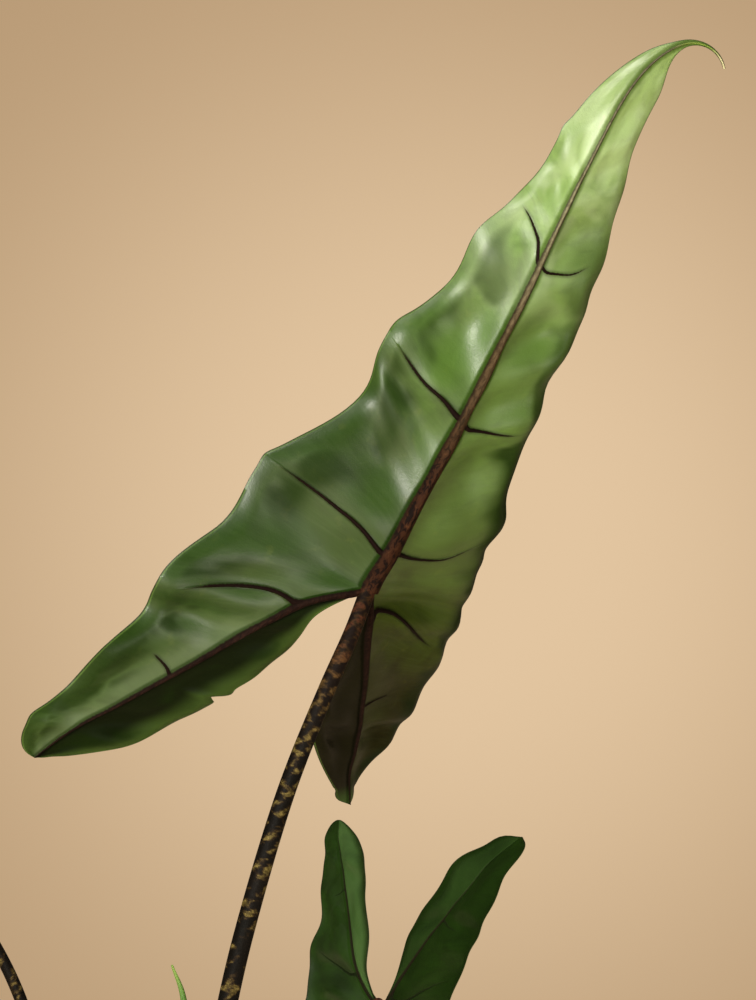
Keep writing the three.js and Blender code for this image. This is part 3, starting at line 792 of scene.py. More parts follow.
# %% Stalk finish
stalk_skin, tree = new_material("stalk_skin")
rod_place = attribute(tree, "rod", "Vector")
share = attribute(tree, "share")
skin = use_group(tree, plant_grain, rod_place)
bands = drawn_out(tree, rod_place, (0.15, 0.15, 0.26), 2, 0.5, 0.6)
flecks = drawn_out(tree, rod_place, (0.5, 0.5, 0.9), 3.0, 0.6, 0.3)
rod_axes = axes_of(tree, rod_place)
slant = plus(tree, times(tree, rod_axes["Z"], 0.72), rod_axes["X"])
zigzag = calculate(tree, "SINE", plus(tree, slant, times(tree, skin["Tone"], 6)))
high = rise(tree, share, 0.82, 0.96)
parts = ((bands, 0.8), (flecks, 0.16), (zigzag, 0.06), (high, 0.09))
pattern = plus(tree, *(times(tree, part, amount) for part, amount in parts))
dark = coats(tree, toned(tree, skin["Tone"], 0.3, 0.7, (9, 7, 4), (17, 12, 7)), (high, (22, 12, 8)))
rust = toned(tree, flecks, 0.35, 0.65, (32, 22, 11), (48, 34, 16))
tan = toned(tree, flecks, 0.4, 0.65, (80, 68, 32), (126, 110, 60))
tan = coats(tree, tan, (high, toned(tree, flecks, 0.4, 0.6, (50, 27, 17), (78, 44, 27))))
fringe = rise(tree, pattern, 0.47, 0.56)
patch = rise(tree, pattern, 0.52, 0.66, 0, 0.9)
colour = coats(tree, dark, (fringe, rust), (patch, tan))
roughness = rise(tree, skin["Grain"], 0.3, 1.0, 0.55, 0.7)
set_surface(tree, coated(tree, colour, roughness, bumps(tree, skin["Grain"], 0.00025, 0.35), 0.12))
for name, stalk in stalks.items():
    finish_piece(stalk, "petiole_" + name, stalk_skin, "stalk", "stalk_" + name)

# %% [markdown]
# ## The blades
# All three blades grew from the same pattern, so they share one flat drawing, at the size of the tall one
# and with the midrib along x. Each row of the drawing gives the rib, the outer margin and, on the two rear
# lobes, the margin of the notch between them, on the left and on the right. Odd rows follow a side vein. A
# smooth curve through the rows gives the outline, and everything on the blade is then placed by row and by
# how far out it is. Each leaf also has a list of small bulges and nicks in its margin, and a sway of its
# midrib. The two margins of rows 2 to 16 weren't drawn by hand: they were found by a least-squares fit to
# the outline of the real leaf and rounded to the half millimetre.

# %% The flat drawing
JUNCTION = 10
LAST_ROW = 16
TIP = 288
BLADE_LENGTH = 265
BLUNT_ROW = 15
BLUNT_ROWS = 0.6
SWAY_LENGTH = 190
RIB_TIP_SHARE = 0.1
LOBE_RIB_SHARE = 0.6
BLADE_ROWS = [
    {"rib": (288, 0, 0), "outer": (288, 0.5, 0.5)},
    {"rib": (265, 0, 0), "outer": (264, 2.5, 2)},
    {"rib": (238, 0, 0), "outer": (242, 10.5, 13)},
    {"rib": (205, 0, 0), "outer": (212, 16, 16)},
    {"rib": (180, 0, 0), "outer": (187, 18, 25)},
    {"rib": (155, 0, 0), "outer": (158, 28.5, 36.5)},
    {"rib": (118, 0, 0), "outer": (132, 29, 40.5)},
    {"rib": (82, 0, 0), "outer": (99, 42, 44)},
    {"rib": (48, 0, 0), "outer": (72, 36.5, 50.5)},
    {"rib": (18, 0, 0), "outer": (34, 66.5, 62.5)},
    {"rib": (0, 0, 0), "outer": (4, 72, 83), "notch": (0, 0, 0)},
    {"rib": (-15, 25.5, 13), "outer": (-24, 94, 94), "notch": (-20, 17, 12)},
    {"rib": (-40, 47, 35), "outer": (-44, 91, 108), "notch": (-41, 16.5, 18)},
    {"rib": (-64, 67, 58), "outer": (-63, 105, 113.5), "notch": (-62, 33, 22)},
    {"rib": (-84, 84.5, 77), "outer": (-84, 109, 122), "notch": (-84, 44, 43.5)},
    {"rib": (-101, 100, 91), "outer": (-104, 121, 108), "notch": (-104, 74, 77)},
    {"rib": (-117, 110, 113), "outer": (-117, 110, 113), "notch": (-117, 110, 113)},
]


def through(points, at):
    """Places on a smooth curve through a list of points, counted in points."""
    points = np.asarray(points, float)
    last = len(points) - 1
    start = np.clip(np.floor(at).astype(int), 0, last - 1)
    f = (at - start)[..., None]
    a, b, c, d = (points[np.clip(start + step, 0, last)] for step in (-1, 0, 1, 2))
    return 0.5 * (2 * b + (c - a) * f + (2 * a - 5 * b + 4 * c - d) * f**2 + (3 * b - a - 3 * c + d) * f**3)


def drawn_line(rows, line, side):
    """One line of the drawing, as points (x, y) on the left (-1) or the right (1)."""
    return [(row[line][0], row[line][1 if side < 0 else 2]) for row in rows]


LINES = {}
for side in (-1, 1):
    outer = drawn_line(BLADE_ROWS, "outer", side)
    notch = drawn_line(BLADE_ROWS[JUNCTION:], "notch", side)
    LINES[side] = {
        "front": drawn_line(BLADE_ROWS[: JUNCTION + 1], "rib", side),
        "rear": drawn_line(BLADE_ROWS[JUNCTION:], "rib", side),
        "outer": [*outer, notch[-2]],
        "notch": [*notch, outer[-2]],
    }


def by_side(pair, side):
    """The left or the right one of a pair of values."""
    return pair[0] if side < 0 else pair[1]


def sway_at(pose, x):
    """How far the midrib swings to the right of a straight line, at a distance x from the stalk, in mm."""
    shown = (x > 0) * np.clip((TIP - x) / 60, 0, 1)
    return pose["sway"] * np.sin(np.pi * x / SWAY_LENGTH) * np.where(x < SWAY_LENGTH, 1, 0.4) * shown


def margin_detail(pose, side, strip, row):
    """How far bulges and nicks push one leaf's margin out, as a share of the run."""
    push = np.zeros_like(row)
    for at_side, at_strip, at_row, half_width, share in pose["edge"]:
        if (at_side, at_strip) == (side, strip):
            push = push + share * np.exp(-(((row - at_row) / half_width) ** 2))
    return push


def run_at(pose, side, strip, row):
    """Where a row's rib is, and its run from there to the margin, with the run's length."""
    lines = LINES[side]
    front = through(lines["front"], np.minimum(row, JUNCTION))
    rear = through(lines["rear"], np.maximum(row - JUNCTION, 0))
    rib = np.where((row <= JUNCTION)[..., None], front, rear)
    margin = through(lines["outer"], row) if strip == "outer" else through(lines["notch"], row - JUNCTION)
    lobe = smooth_step(row, JUNCTION - 2, JUNCTION + 2)
    length = 1 + (by_side(pose["lobe_length"], side) - 1) * lobe
    breadth = 1 + (by_side(pose["lobe_breadth"], side) - 1) * lobe
    if strip == "notch":
        near_end = np.exp(-(((row - BLUNT_ROW) / BLUNT_ROWS) ** 2))
        breadth = breadth * (1 + by_side(pose["blunt"], side) * near_end)
    breadth = breadth * (1 + margin_detail(pose, side, strip, row))
    run = (margin - rib) * breadth[..., None]
    run[..., 1] -= side * sway_at(pose, margin[..., 0]) * (strip == "outer")
    return rib * length[..., None], run, np.hypot(run[..., 0], run[..., 1])


def rib_share(row):
    """How much of a rib's full size is left: full at the stalk, thin at the tip and the lobes' ends."""
    x = through(LINES[1]["front"], np.minimum(row, JUNCTION))[..., 0]
    front = RIB_TIP_SHARE + (1 - RIB_TIP_SHARE) * np.clip(1 - x / TIP, 0, 1) ** 1.8
    left = np.clip(1 - (row - JUNCTION) / (LAST_ROW - JUNCTION), 0, 1)
    rear = RIB_TIP_SHARE + (LOBE_RIB_SHARE - RIB_TIP_SHARE) * left**0.8
    return np.where(row <= JUNCTION, front, rear)


print("rows:", len(BLADE_ROWS), "midrib", TIP, "mm, lobes back to", -BLADE_ROWS[-1]["rib"][0], "mm")

# %% [markdown]
# ## Side veins
# On the underside the side veins stand up as dark cords. Each leaves its rib near an odd row, swings away
# from it and fades out before the margin. How far it strays from its row is given at five places on the way
# out. These strays weren't drawn by hand: they were found by a least-squares fit to points along the veins.
# The mesh rows are swung along with them, so that every vein lies on a line of points and keeps a clean
# crest.

# %% Vein paths
# side and row: how far out it reaches, its strength, and its stray in rows at 0, 1/4, 1/2, 3/4 and the margin
VEINS = {
    (-1, 5): (0.82, 0.38, (-0.14, -0.35, -0.5, -0.58, -0.62)),
    (-1, 7): (0.92, 0.85, (0.02, -0.01, 0.02, -0.03, -0.1)),
    (-1, 9): (0.95, 0.9, (0.12, -0.03, -0.04, -0.02, 0.01)),
    (-1, 11): (0.88, 0.85, (0.07, -0.08, 0, 0.12, 0.3)),
    (-1, 13): (0.5, 0.5, (-0.03, -0.16, -0.29, -0.38, -0.45)),
    (1, 5): (0.74, 0.36, (0.08, 0.04, -0.03, -0.25, -0.4)),
    (1, 7): (0.78, 0.7, (0.11, 0.17, 0.26, 0.34, 0.38)),
    (1, 9): (0.84, 0.8, (-0.02, 0.13, 0.18, 0.01, -0.15)),
    (1, 11): (0.8, 0.9, (-0.37, -0.38, 0, 0.36, 0.45)),
    (1, 13): (0.45, 0.4, (0.02, -0.13, -0.19, -0.22, -0.24)),
}
SWING_START = 3
VEIN_HEIGHT = 1.7
VEIN_HALF_WIDTH = 1.15
VEIN_END_HALF_WIDTH = 0.22
VEIN_FLARE = 0.8
VEIN_FLARE_LENGTH = 4


def nearest_vein(row):
    """The odd row nearest to each row."""
    return 2 * np.round((row - 1) / 2).astype(int) + 1


def vein_facts(side, row, out):
    """Stray, reach and strength of the vein nearest to each place."""
    odd = nearest_vein(row)
    stray, reach, strength = np.zeros_like(row), np.full_like(row, 0.5), np.zeros_like(row)
    for (vein_side, vein_row), (vein_reach, vein_strength, places) in VEINS.items():
        mine = (side == vein_side) & (odd == vein_row)
        smooth = through(np.array(places)[:, None], out * (len(places) - 1))[..., 0]
        stray = np.where(mine, smooth, stray)
        reach = np.where(mine, vein_reach, reach)
        strength = np.where(mine, vein_strength, strength)
    return stray, reach, strength


def swung_row(side, strip, row, out, from_rib):
    """The drawing's row under a mesh row: swung to follow the veins, and left alone on the rib itself."""
    if strip == "notch":
        return row
    stray, _, _ = vein_facts(side, row, out)
    near = np.cos(np.pi * (row - nearest_vein(row)) / 2) ** 2
    return row + stray * near * (1 - np.exp(-((from_rib / SWING_START) ** 2)))


print("veins:", len(VEINS))

# %% [markdown]
# ## Relief
# A blade of this plant is stiff but never flat. The panels between the side veins are pushed up towards the
# upper side, the margin waves, a wide channel runs along each rib, and smaller swells run out beside the
# veins. On the underside the ribs are half round and the veins narrow ridges; on the upper side both are
# fine grooves.

# %% Relief
RIB_HALF_WIDTH = 4.5
RIB_HEIGHT = 3.6
PUCKER = 3.6
ROLL_WIDTH = 9
RIB_CHANNEL = 0.6
RIB_CHANNEL_WIDTH = 11
FULL_SIZE_WIDTH = 45
SWELL = 2.1
SKIN = 0.8
MARGIN_SKIN = 0.4


def sheet_height(pose, side, row, out, from_rib, width):
    """How far the blade stands off its own flat sheet at a row of the drawing, in mm."""
    on_vein = (1 - np.cos(np.pi * row)) / 2
    size = np.minimum(1, width / FULL_SIZE_WIDTH)
    pucker = PUCKER * (1 - on_vein) * np.sin(np.pi * np.minimum(1, out * 1.1)) ** 1.2
    wave = by_side(pose["margin_wave"], side) * (1 - 2 * on_vein) * out**3
    near_margin = np.clip(1 - (1 - out) * width / ROLL_WIDTH, 0, 1)
    roll = by_side(pose["margin_roll"], side) * near_margin**2
    channel = RIB_CHANNEL * rib_share(row) * np.exp(-((from_rib / RIB_CHANNEL_WIDTH) ** 2))
    seed = pose["seed"] + side
    swell = np.sin(5.4 * row + 1.2 * np.sin(1.7 * row + seed) + 1.8 * out + seed)
    swell += 0.7 * np.sin(3.6 * row - 3.4 * out + 1.3 * seed) * np.sin(4.5 * out + 0.9 * row)
    swell *= SWELL * np.sin(np.pi * np.minimum(1, out * 0.93)) ** 0.8 * (1 - 0.3 * smooth_step(row, 9, 12))
    return size * (pucker + wave + roll + swell) - channel


def ridges(side, strip, row, out, from_rib, width, from_vein):
    """Heights of the rib and of the nearest vein, and how far inside each a place is, in mm."""
    half = RIB_HALF_WIDTH * rib_share(row)
    rib = RIB_HEIGHT * rib_share(row) * np.sqrt(np.clip(1 - (from_rib / half) ** 2, 0, 1))
    inside_rib = half - from_rib
    if strip == "notch":
        return rib, np.zeros_like(row), inside_rib, np.full_like(row, -9.0), np.zeros_like(row)
    _, reach, strength = vein_facts(side, row, out)
    left = np.clip(1 - out / reach, 0, 1)
    half_vein = VEIN_END_HALF_WIDTH + (VEIN_HALF_WIDTH - VEIN_END_HALF_WIDTH) * left**0.7
    half_vein = half_vein * (0.35 + 0.65 * strength)
    half_vein += VEIN_FLARE * strength * np.exp(-from_rib / VEIN_FLARE_LENGTH)
    size = np.minimum(1, width / FULL_SIZE_WIDTH)
    crest = np.sqrt(np.clip(1 - (from_vein / half_vein) ** 2, 0, 1))
    vein = VEIN_HEIGHT * strength * left**0.6 * size * crest
    shown = smooth_step(left, 0, 0.25) * (strength > 0)
    return rib, vein, inside_rib, half_vein - from_vein, shown


print("relief up to", PUCKER + SWELL, "mm")

# %% [markdown]
# ## Bending
# Each blade hangs in its own pose. Its midrib points along a compass direction and a slope, the blade tilts
# about it, arches and twists towards the tip, and folds up on both sides of it. The drawn-out tip turns
# like a hook, and the rear lobes lift and fold on their own. The bent middle line is walked in steps of a
# millimetre. What comes in pairs is for the left and the right. In an edge list, each bulge or nick has its
# side, strip, row, half width in rows and depth as a share of the run. Most pose values of the main and the
# front leaf weren't set by hand either: they came from least-squares fits to the outlines of the real
# leaves.

# %% Poses
POSES = {
    "leaf_main": {
        "junction": (91.6, 13.5, 550), "scale": 1, "azimuth": 71, "elevation": 60.5, "tilt": -38,
        "arch": (9, -11), "twist": -30, "hook": 40, "tail_turn": 99, "fold": 17.5, "lobe_fold": (-8, 24.5),
        "lobe_lift": (23.5, -24), "lobe_twist": -2.5, "curl": -2, "lobe_breadth": (1, 1),
        "lobe_length": (1, 1), "blunt": (0, 0), "margin_wave": (3.2, 1), "margin_roll": (2.8, 4.2),
        "seed": 0.4, "sway": 2.4,
        "edge": [
            (-1, "outer", 1.8, 0.5, -0.14), (-1, "outer", 3.05, 0.15, 0.05), (-1, "outer", 4.6, 0.3, -0.05),
            (-1, "outer", 6.75, 0.2, 0.04), (-1, "outer", 7.75, 0.45, 0.12), (-1, "outer", 9, 0.12, 0.02),
            (-1, "outer", 14.7, 0.2, 0.08), (-1, "notch", 12.7, 0.3, 0.06), (-1, "notch", 13.15, 0.1, 0.05),
            (-1, "notch", 13.32, 0.07, -0.14), (-1, "notch", 15.7, 0.1, -0.1), (1, "outer", 3.3, 0.6, 0.08),
            (1, "outer", 5.1, 0.4, -0.12), (1, "outer", 6.6, 0.3, -0.07), (1, "outer", 8.75, 0.25, 0.1),
            (1, "outer", 9.3, 0.15, 0.03), (1, "outer", 15.3, 0.08, -0.12), (1, "outer", 15.6, 0.2, 0.25),
            (1, "notch", 15.35, 0.06, -0.1), (1, "notch", 15.6, 0.2, 0.45),
        ],
    },
    "leaf_front": {
        "junction": (96.2, -99, 387.7), "scale": 0.67, "azimuth": -64, "elevation": -76, "tilt": -17.3,
        "arch": (6, -14), "twist": 6, "hook": 8, "tail_turn": -60, "fold": 12, "lobe_fold": (-19.4, 17.3),
        "lobe_lift": (23.6, -54.8), "lobe_twist": 4, "curl": -1.2, "lobe_breadth": (0.75, 0.87),
        "lobe_length": (1.03, 0.91), "blunt": (0.05, 1.15), "margin_wave": (0.8, 0.8),
        "margin_roll": (1.5, 1.5), "seed": 2.1, "sway": 0,
        "edge": [(1, "outer", 15.2, 0.5, 1.3), (1, "notch", 15.6, 0.25, 0.95), (1, "notch", 13.2, 1, -0.12)],
    },
    "leaf_left": {
        "junction": (-124, -6, 462), "scale": 0.56, "azimuth": -80, "elevation": -46, "tilt": -6,
        "arch": (-4, -16), "twist": -10, "hook": -8, "tail_turn": 70, "fold": 14, "lobe_fold": (6, 3),
        "lobe_lift": (8, -6), "lobe_twist": 0, "curl": 0, "lobe_breadth": (0.92, 0.92),
        "lobe_length": (1, 0.96), "blunt": (0.3, 0.5), "margin_wave": (1.8, 1.8), "margin_roll": (2, 2),
        "seed": 4.6, "sway": 0, "edge": [],
    },
}
BEND_STEPS = 310
HOOK_START = 0.8
LOBE_BEND = 25
LOBE_REACH = 130
CURL_WIDTH = 50
TAIL = TIP - BLADE_LENGTH


def turning(kind, degrees):
    """Turn matrices about x, y or z, one for each angle."""
    angle = np.radians(degrees)
    c, s, o, l = np.cos(angle), np.sin(angle), np.zeros_like(angle), np.ones_like(angle)
    cells = {
        "x": (l, o, o, o, c, -s, o, s, c),
        "y": (c, o, s, o, l, o, -s, o, c),
        "z": (c, -s, o, s, c, o, o, o, l),
    }
    return np.stack(cells[kind], -1).reshape(*angle.shape, 3, 3)


def junction_axes(pose):
    """The blade's axes at the stalk, as columns: along the midrib, to its right, and up out of its face."""
    azimuth, elevation, tilt = np.radians([pose["azimuth"], pose["elevation"], pose["tilt"]])
    level = np.cos(elevation)
    along = np.array([level * np.sin(azimuth), -level * np.cos(azimuth), np.sin(elevation)])
    up = np.array([0, 0, 1]) - along * along[2]
    up /= np.linalg.norm(up)
    up = up * np.cos(tilt) + np.cross(along, up) * np.sin(tilt)
    return np.stack([along, np.cross(up, along), up], 1)


def axes_at(pose, x):
    """The blade's axes at each distance x along it."""
    share = np.minimum(x / BLADE_LENGTH, 1)
    pitch = pose["arch"][0] * share + pose["arch"][1] * share**2
    twist = pose["twist"] * share
    turn = pose["hook"] * np.maximum(0, (share - HOOK_START) / (1 - HOOK_START)) ** 2.5
    turn = turn + pose["tail_turn"] * np.maximum(0, x - BLADE_LENGTH) / TAIL
    back = np.minimum(x, 0)
    lift = -pose["lobe_lift"][0] * (1 - np.exp(back / LOBE_BEND)) + pose["lobe_lift"][1] * back / LOBE_REACH
    pitch = np.where(x < 0, lift, pitch)
    twist = np.where(x < 0, pose["lobe_twist"] * back / LOBE_REACH, twist)
    turned = turning("y", -pitch) @ turning("x", twist) @ turning("z", np.where(x < 0, 0, turn))
    return junction_axes(pose) @ turned


def bend(pose, x, y, side, height):
    """Puts points of the flat blade, at some height off it, in their place in the plant, in mm."""
    steps = np.arange(BEND_STEPS)
    ahead = axes_at(pose, steps + 0.5)[..., :, 0]
    behind = axes_at(pose, -(steps + 0.5))[..., :, 0]
    line = np.concatenate([-np.cumsum(behind, 0)[::-1], np.zeros((1, 3)), np.cumsum(ahead, 0)])
    at = np.arange(-BEND_STEPS, BEND_STEPS + 1)
    place = np.stack([np.interp(x, at, line[:, axis]) for axis in range(3)], -1)
    axes = axes_at(pose, x)
    front = 1 / (1 + np.exp(-x / LOBE_BEND))
    lobe_fold = np.where(side < 0, pose["lobe_fold"][0], pose["lobe_fold"][1])
    fold = np.radians(front * pose["fold"] + (1 - front) * lobe_fold)
    slope = fold - np.radians(pose["curl"] * y / CURL_WIDTH)
    chord = (fold + slope) / 2
    slope = slope * (1 - np.exp(-((y / 3) ** 2)))
    out = side * (y * np.cos(chord) - height * np.sin(slope))
    up = y * np.sin(chord) + height * np.cos(slope)
    out = out + sway_at(pose, x)
    place += axes[..., :, 1] * out[..., None] + axes[..., :, 2] * up[..., None]
    return place * pose["scale"] + np.array(pose["junction"])


print("poses:", list(POSES))

# %% [markdown]
# ## Building a blade
# One blade is sewn from four grids: outer and notch strip, left and right. Their columns crowd together on
# the ribs and their rows on the veins, where the relief is finest. Laid out flat, they are joined and
# merged along the ribs, and a Solidify modifier gives the sheet its second face. Then one formula puts
# every point of both faces in place, and the numbers that the leaf skin needs are stored on the points.

# %% Flat sheet
RIB_COLUMNS = 0.24
CROWDING = 0.72


def strip_grid(pose, side, strip, stations, columns):
    """One of a blade's four grids, laid flat."""
    first = 0 if strip == "outer" else JUNCTION
    count = (LAST_ROW - first) * stations
    bpy.ops.object.select_all(action="DESELECT")
    bpy.ops.mesh.primitive_grid_add(x_subdivisions=count, y_subdivisions=columns, size=1)
    grid = bpy.context.object
    flat = points_of(grid)
    row = np.round((flat[:, 0] + 0.5) * count) / stations + first
    out = np.round((flat[:, 1] + 0.5) * columns) / columns
    row = row + CROWDING / np.pi * np.sin(np.pi * row)
    _, _, width = run_at(pose, side, strip, row)
    rib_edge = np.minimum(0.4, 1.3 * RIB_HALF_WIDTH * rib_share(row) / np.maximum(width, 0.01))
    beyond = rib_edge + (1 - rib_edge) * (out - RIB_COLUMNS) / (1 - RIB_COLUMNS)
    out = np.where(out < RIB_COLUMNS, out / RIB_COLUMNS * rib_edge, beyond)
    drawn = swung_row(side, strip, row, out, out * width)
    rib, run, _ = run_at(pose, side, strip, drawn)
    place = rib + run * out[:, None]
    move_points(grid, np.stack([place[:, 0], place[:, 1] * side, np.zeros_like(row)], 1) * MM)
    carry(grid, "row", row)
    carry(grid, "out", out)
    carry(grid, "side", np.full_like(row, side))
    carry(grid, "notch", np.full_like(row, strip == "notch"))
    return grid


def flat_sheet(pose, stations, columns, notch_columns):
    """The four grids sewn into one flat sheet, with its upper face up, and a second face under it."""
    grids = [strip_grid(pose, side, "outer", stations, columns) for side in (-1, 1)]
    grids += [strip_grid(pose, side, "notch", stations, notch_columns) for side in (-1, 1)]
    bpy.ops.object.select_all(action="DESELECT")
    for grid in grids:
        grid.select_set(True)
    bpy.context.view_layer.objects.active = grids[0]
    bpy.ops.object.join()
    sheet = bpy.context.object
    edit(sheet)
    bpy.ops.mesh.remove_doubles(threshold=0.004 * MM)
    bpy.ops.mesh.normals_make_consistent(inside=False)
    bpy.ops.object.mode_set(mode="OBJECT")
    if sum(face.normal.z for face in sheet.data.polygons) < 0:
        sheet.data.flip_normals()
    sheet.modifiers.new("second_face", "SOLIDIFY").thickness = SKIN * MM
    bpy.ops.object.modifier_apply(modifier="second_face")
    return sheet


print("ribs take", RIB_COLUMNS, "of the columns")

# %% Placing the points
LAID_OUT = ("x", "y", "height", "inside_rib", "inside_vein", "shown", "margin")
SIDE_STEP = 0.004
RIB_GROOVE = 0.7
RIB_GROOVE_WIDTH = 0.9
VEIN_GROOVE = 0.35
VEIN_GROOVE_WIDTH = 0.8


def place_blade(sheet, pose):
    """Bends a flat sheet into its pose and stores what the leaf skin reads."""
    row, out, side = (carried(sheet, name) for name in ("row", "out", "side"))
    on_notch = carried(sheet, "notch") > 0.5
    count = len(row) // 2
    under = np.arange(len(row)) >= count
    results = {name: np.zeros(len(row)) for name in LAID_OUT}
    for strip in ("outer", "notch"):
        for one_side in (-1, 1):
            mine = (on_notch == (strip == "notch")) & (side == one_side)
            part = lay_out(pose, one_side, strip, row[mine], out[mine], under[mine])
            for name, values in part.items():
                results[name][mine] = values
    move_points(sheet, bend(pose, results["x"], results["y"], side, results["height"]) * MM)
    scale = pose["scale"]
    carry(sheet, "under", under)
    carry(sheet, "rib_x", results["x"])
    flat = np.stack([results["x"], results["y"] * side, np.full(len(row), 90 * pose["seed"])], 1)
    carry(sheet, "sheet", flat * scale)
    carry(sheet, "weave", np.stack([row, out * 2, side * 3 + pose["seed"]], 1))
    for name in ("inside_rib", "inside_vein", "margin"):
        carry(sheet, name, results[name] * scale)
    carry(sheet, "shown", results["shown"])


def lay_out(pose, side, strip, row, out, under):
    """Flat place, height and skin values for the points of one strip."""
    def place_at(row, out):
        _, _, width = run_at(pose, side, strip, row)
        drawn = swung_row(side, strip, row, out, out * width)
        rib, run, width = run_at(pose, side, strip, drawn)
        return rib + run * out[..., None], width

    place, width = place_at(row, out)
    along = (place_at(row + SIDE_STEP, out)[0] - place_at(row - SIDE_STEP, out)[0]) / (2 * SIDE_STEP)
    across = (place_at(row, out + SIDE_STEP)[0] - place_at(row, out - SIDE_STEP)[0]) / (2 * SIDE_STEP)
    spacing = np.abs(along[:, 0] * across[:, 1] - along[:, 1] * across[:, 0])
    spacing /= np.maximum(np.hypot(across[:, 0], across[:, 1]), 0.01)
    from_vein = np.abs(row - nearest_vein(row)) * spacing
    from_rib = out * width
    rib, vein, inside_rib, inside_vein, shown = ridges(side, strip, row, out, from_rib, width, from_vein)
    drawn = swung_row(side, strip, row, out, from_rib)
    height = sheet_height(pose, side, drawn, out, from_rib, width)
    skin = SKIN + (MARGIN_SKIN - SKIN) * smooth_step(out, 0.75, 1)
    groove = RIB_GROOVE * np.minimum(1, rib) * np.exp(-((from_rib / RIB_GROOVE_WIDTH) ** 2))
    groove += VEIN_GROOVE * np.minimum(1, vein) * np.exp(-((from_vein / VEIN_GROOVE_WIDTH) ** 2))
    height = np.where(under, height - skin / pose["scale"] - np.maximum(rib, vein), height - groove)
    return dict(zip(LAID_OUT, (*place.T, height, inside_rib, inside_vein, shown, (1 - out) * width)))


MESH_SIZES = {"leaf_main": (22, 44, 24), "leaf_front": (16, 34, 18), "leaf_left": (16, 34, 18)}
blades = {}
for name, pose in POSES.items():
    blade = flat_sheet(pose, *MESH_SIZES[name])
    place_blade(blade, pose)
    select_only(blade)
    bpy.ops.object.shade_smooth_by_angle(angle=np.radians(60))
    blades[name] = blade
    print(name, "has", len(blade.data.polygons), "faces")

# %% [markdown]
# ## Leaf skin
# The underside is a softly glossy green, paler and yellower towards the tip and browner on the right lobe;
# these tones along the rows are partly the leaf's own colour and partly painted light and shade. Pale patches
# near the tip are a painted sheen. Faint stripes run out next to the veins. A dark strip along the margin is
# painted shade, and so are the dark hollows on the left; the strips in the notch are dark, a pale patch on
# the lobes near the rib is a painted sheen, and a thin pale line along the margin is a painted highlight,
# with a dark edge beyond it. Painted shade also darkens the skin just next to the ribs and veins. The midrib
# is mottled rust brown near the stalk, plain brown further on, grey near the tip, and yellow-green to cream
# on the drawn-out tail; the rear ribs and side veins are nearly black. The upper side is darker and glossier,
# with dark lines in its grooves; its notch strip is paler with painted light, and its right half is darker
# with painted shade. The colours are switched by the distances stored on the points, roughened with a little
# noise so that no edge is ruled. A thin leaf also lets light through, so a translucent shader is mixed in
# wherever there is no rib. The eight tones a side were set beginning near the typical colour of each row of
# the real leaf.

# %% Leaf masks
leaf_skin, tree = new_material("leaf_skin")
sheet_place = attribute(tree, "sheet", "Vector")
weave_place = attribute(tree, "weave", "Vector")
read = {name: attribute(tree, name) for name in ("rib_x", "under", "row", "out", "margin", "shown")}
rib_x, under, row, out, margin, shown = read.values()
on_right = rise(tree, attribute(tree, "side"), -0.5, 0.5)
on_left = rest_of(tree, on_right)
on_notch = rise(tree, attribute(tree, "notch"), 0.4, 0.6)
on_outer = rest_of(tree, on_notch)
skin = use_group(tree, plant_grain, sheet_place)
jitter = times(tree, calculate(tree, "SUBTRACT", noise(tree, sheet_place, 0.9, 3), 0.5), 0.5)
inside_rib = plus(tree, attribute(tree, "inside_rib"), jitter)
inside_vein = plus(tree, attribute(tree, "inside_vein"), jitter)
rib_mask = rise(tree, inside_rib, -0.15, 0.3)
vein_mask = times(tree, rise(tree, inside_vein, -0.2, 0.25), shown)
stripes = drawn_out(tree, weave_place, (22, 1.6, 1), 3, 0.6, 0.4)
streaks = drawn_out(tree, weave_place, (4, 1.5, 1), 3, 0.55, 0.8)
slow_noise = drawn_out(tree, weave_place, (1.2, 0.6, 1), 2, 0.5, 0.4)
clouds = noise(tree, sheet_place, 0.04, 4, 0.55, 0.5)
spots = noise(tree, sheet_place, 0.13, 3, 0.6)
print("masks made, nodes so far:", len(tree.nodes))


# %% Underside colours
def ramp(tree, value, stops):
    """Colours at stops along a value, with soft passages between them."""
    made = add_node(tree, "ValToRGB")
    made.color_ramp.interpolation = "EASE"
    low, high = stops[0][0], stops[-1][0]
    while len(made.color_ramp.elements) < len(stops):
        made.color_ramp.elements.new(1.0)
    for element, (at, colour) in zip(made.color_ramp.elements, stops):
        element.position = (at - low) / (high - low)
        element.color = paint(*colour)
    share = add_node(tree, "MapRange", {0: value, 1: low, 2: high}).outputs[0]
    tree.links.new(share, made.inputs[0])
    return made.outputs[0]


# Tones along the rows, partly the leaf's own colour and partly painted light and shade: paler towards the
# tip, darker in the middle rows on the left and on the right lobe.
LEFT_TONES_AND_SHADING = [
    (0, (104, 140, 48)), (2.5, (170, 202, 122)), (4.2, (152, 190, 104)), (6, (88, 124, 46)),
    (8, (52, 82, 22)), (10, (50, 80, 24)), (13, (60, 92, 32)), (16, (80, 114, 44)),
]
RIGHT_TONES_AND_SHADING = [
    (0, (108, 142, 54)), (2.5, (160, 194, 112)), (5, (120, 156, 76)), (7, (96, 132, 52)),
    (9, (82, 112, 38)), (10.5, (74, 92, 30)), (12.5, (50, 52, 14)), (16, (38, 38, 9)),
]
drift = plus(tree, row, rise(tree, clouds, 0.3, 0.7, -0.5, 0.5))
green = mix_colour(tree, on_right, ramp(tree, drift, LEFT_TONES_AND_SHADING), ramp(tree, drift, RIGHT_TONES_AND_SHADING))
green = coats(tree, green, (rise(tree, streaks, 0.4, 0.75, 0, 0.28), tinted(tree, green, (150, 150, 130))))
pale_skin = mix_colour(tree, 0.3, green, (180, 204, 150))
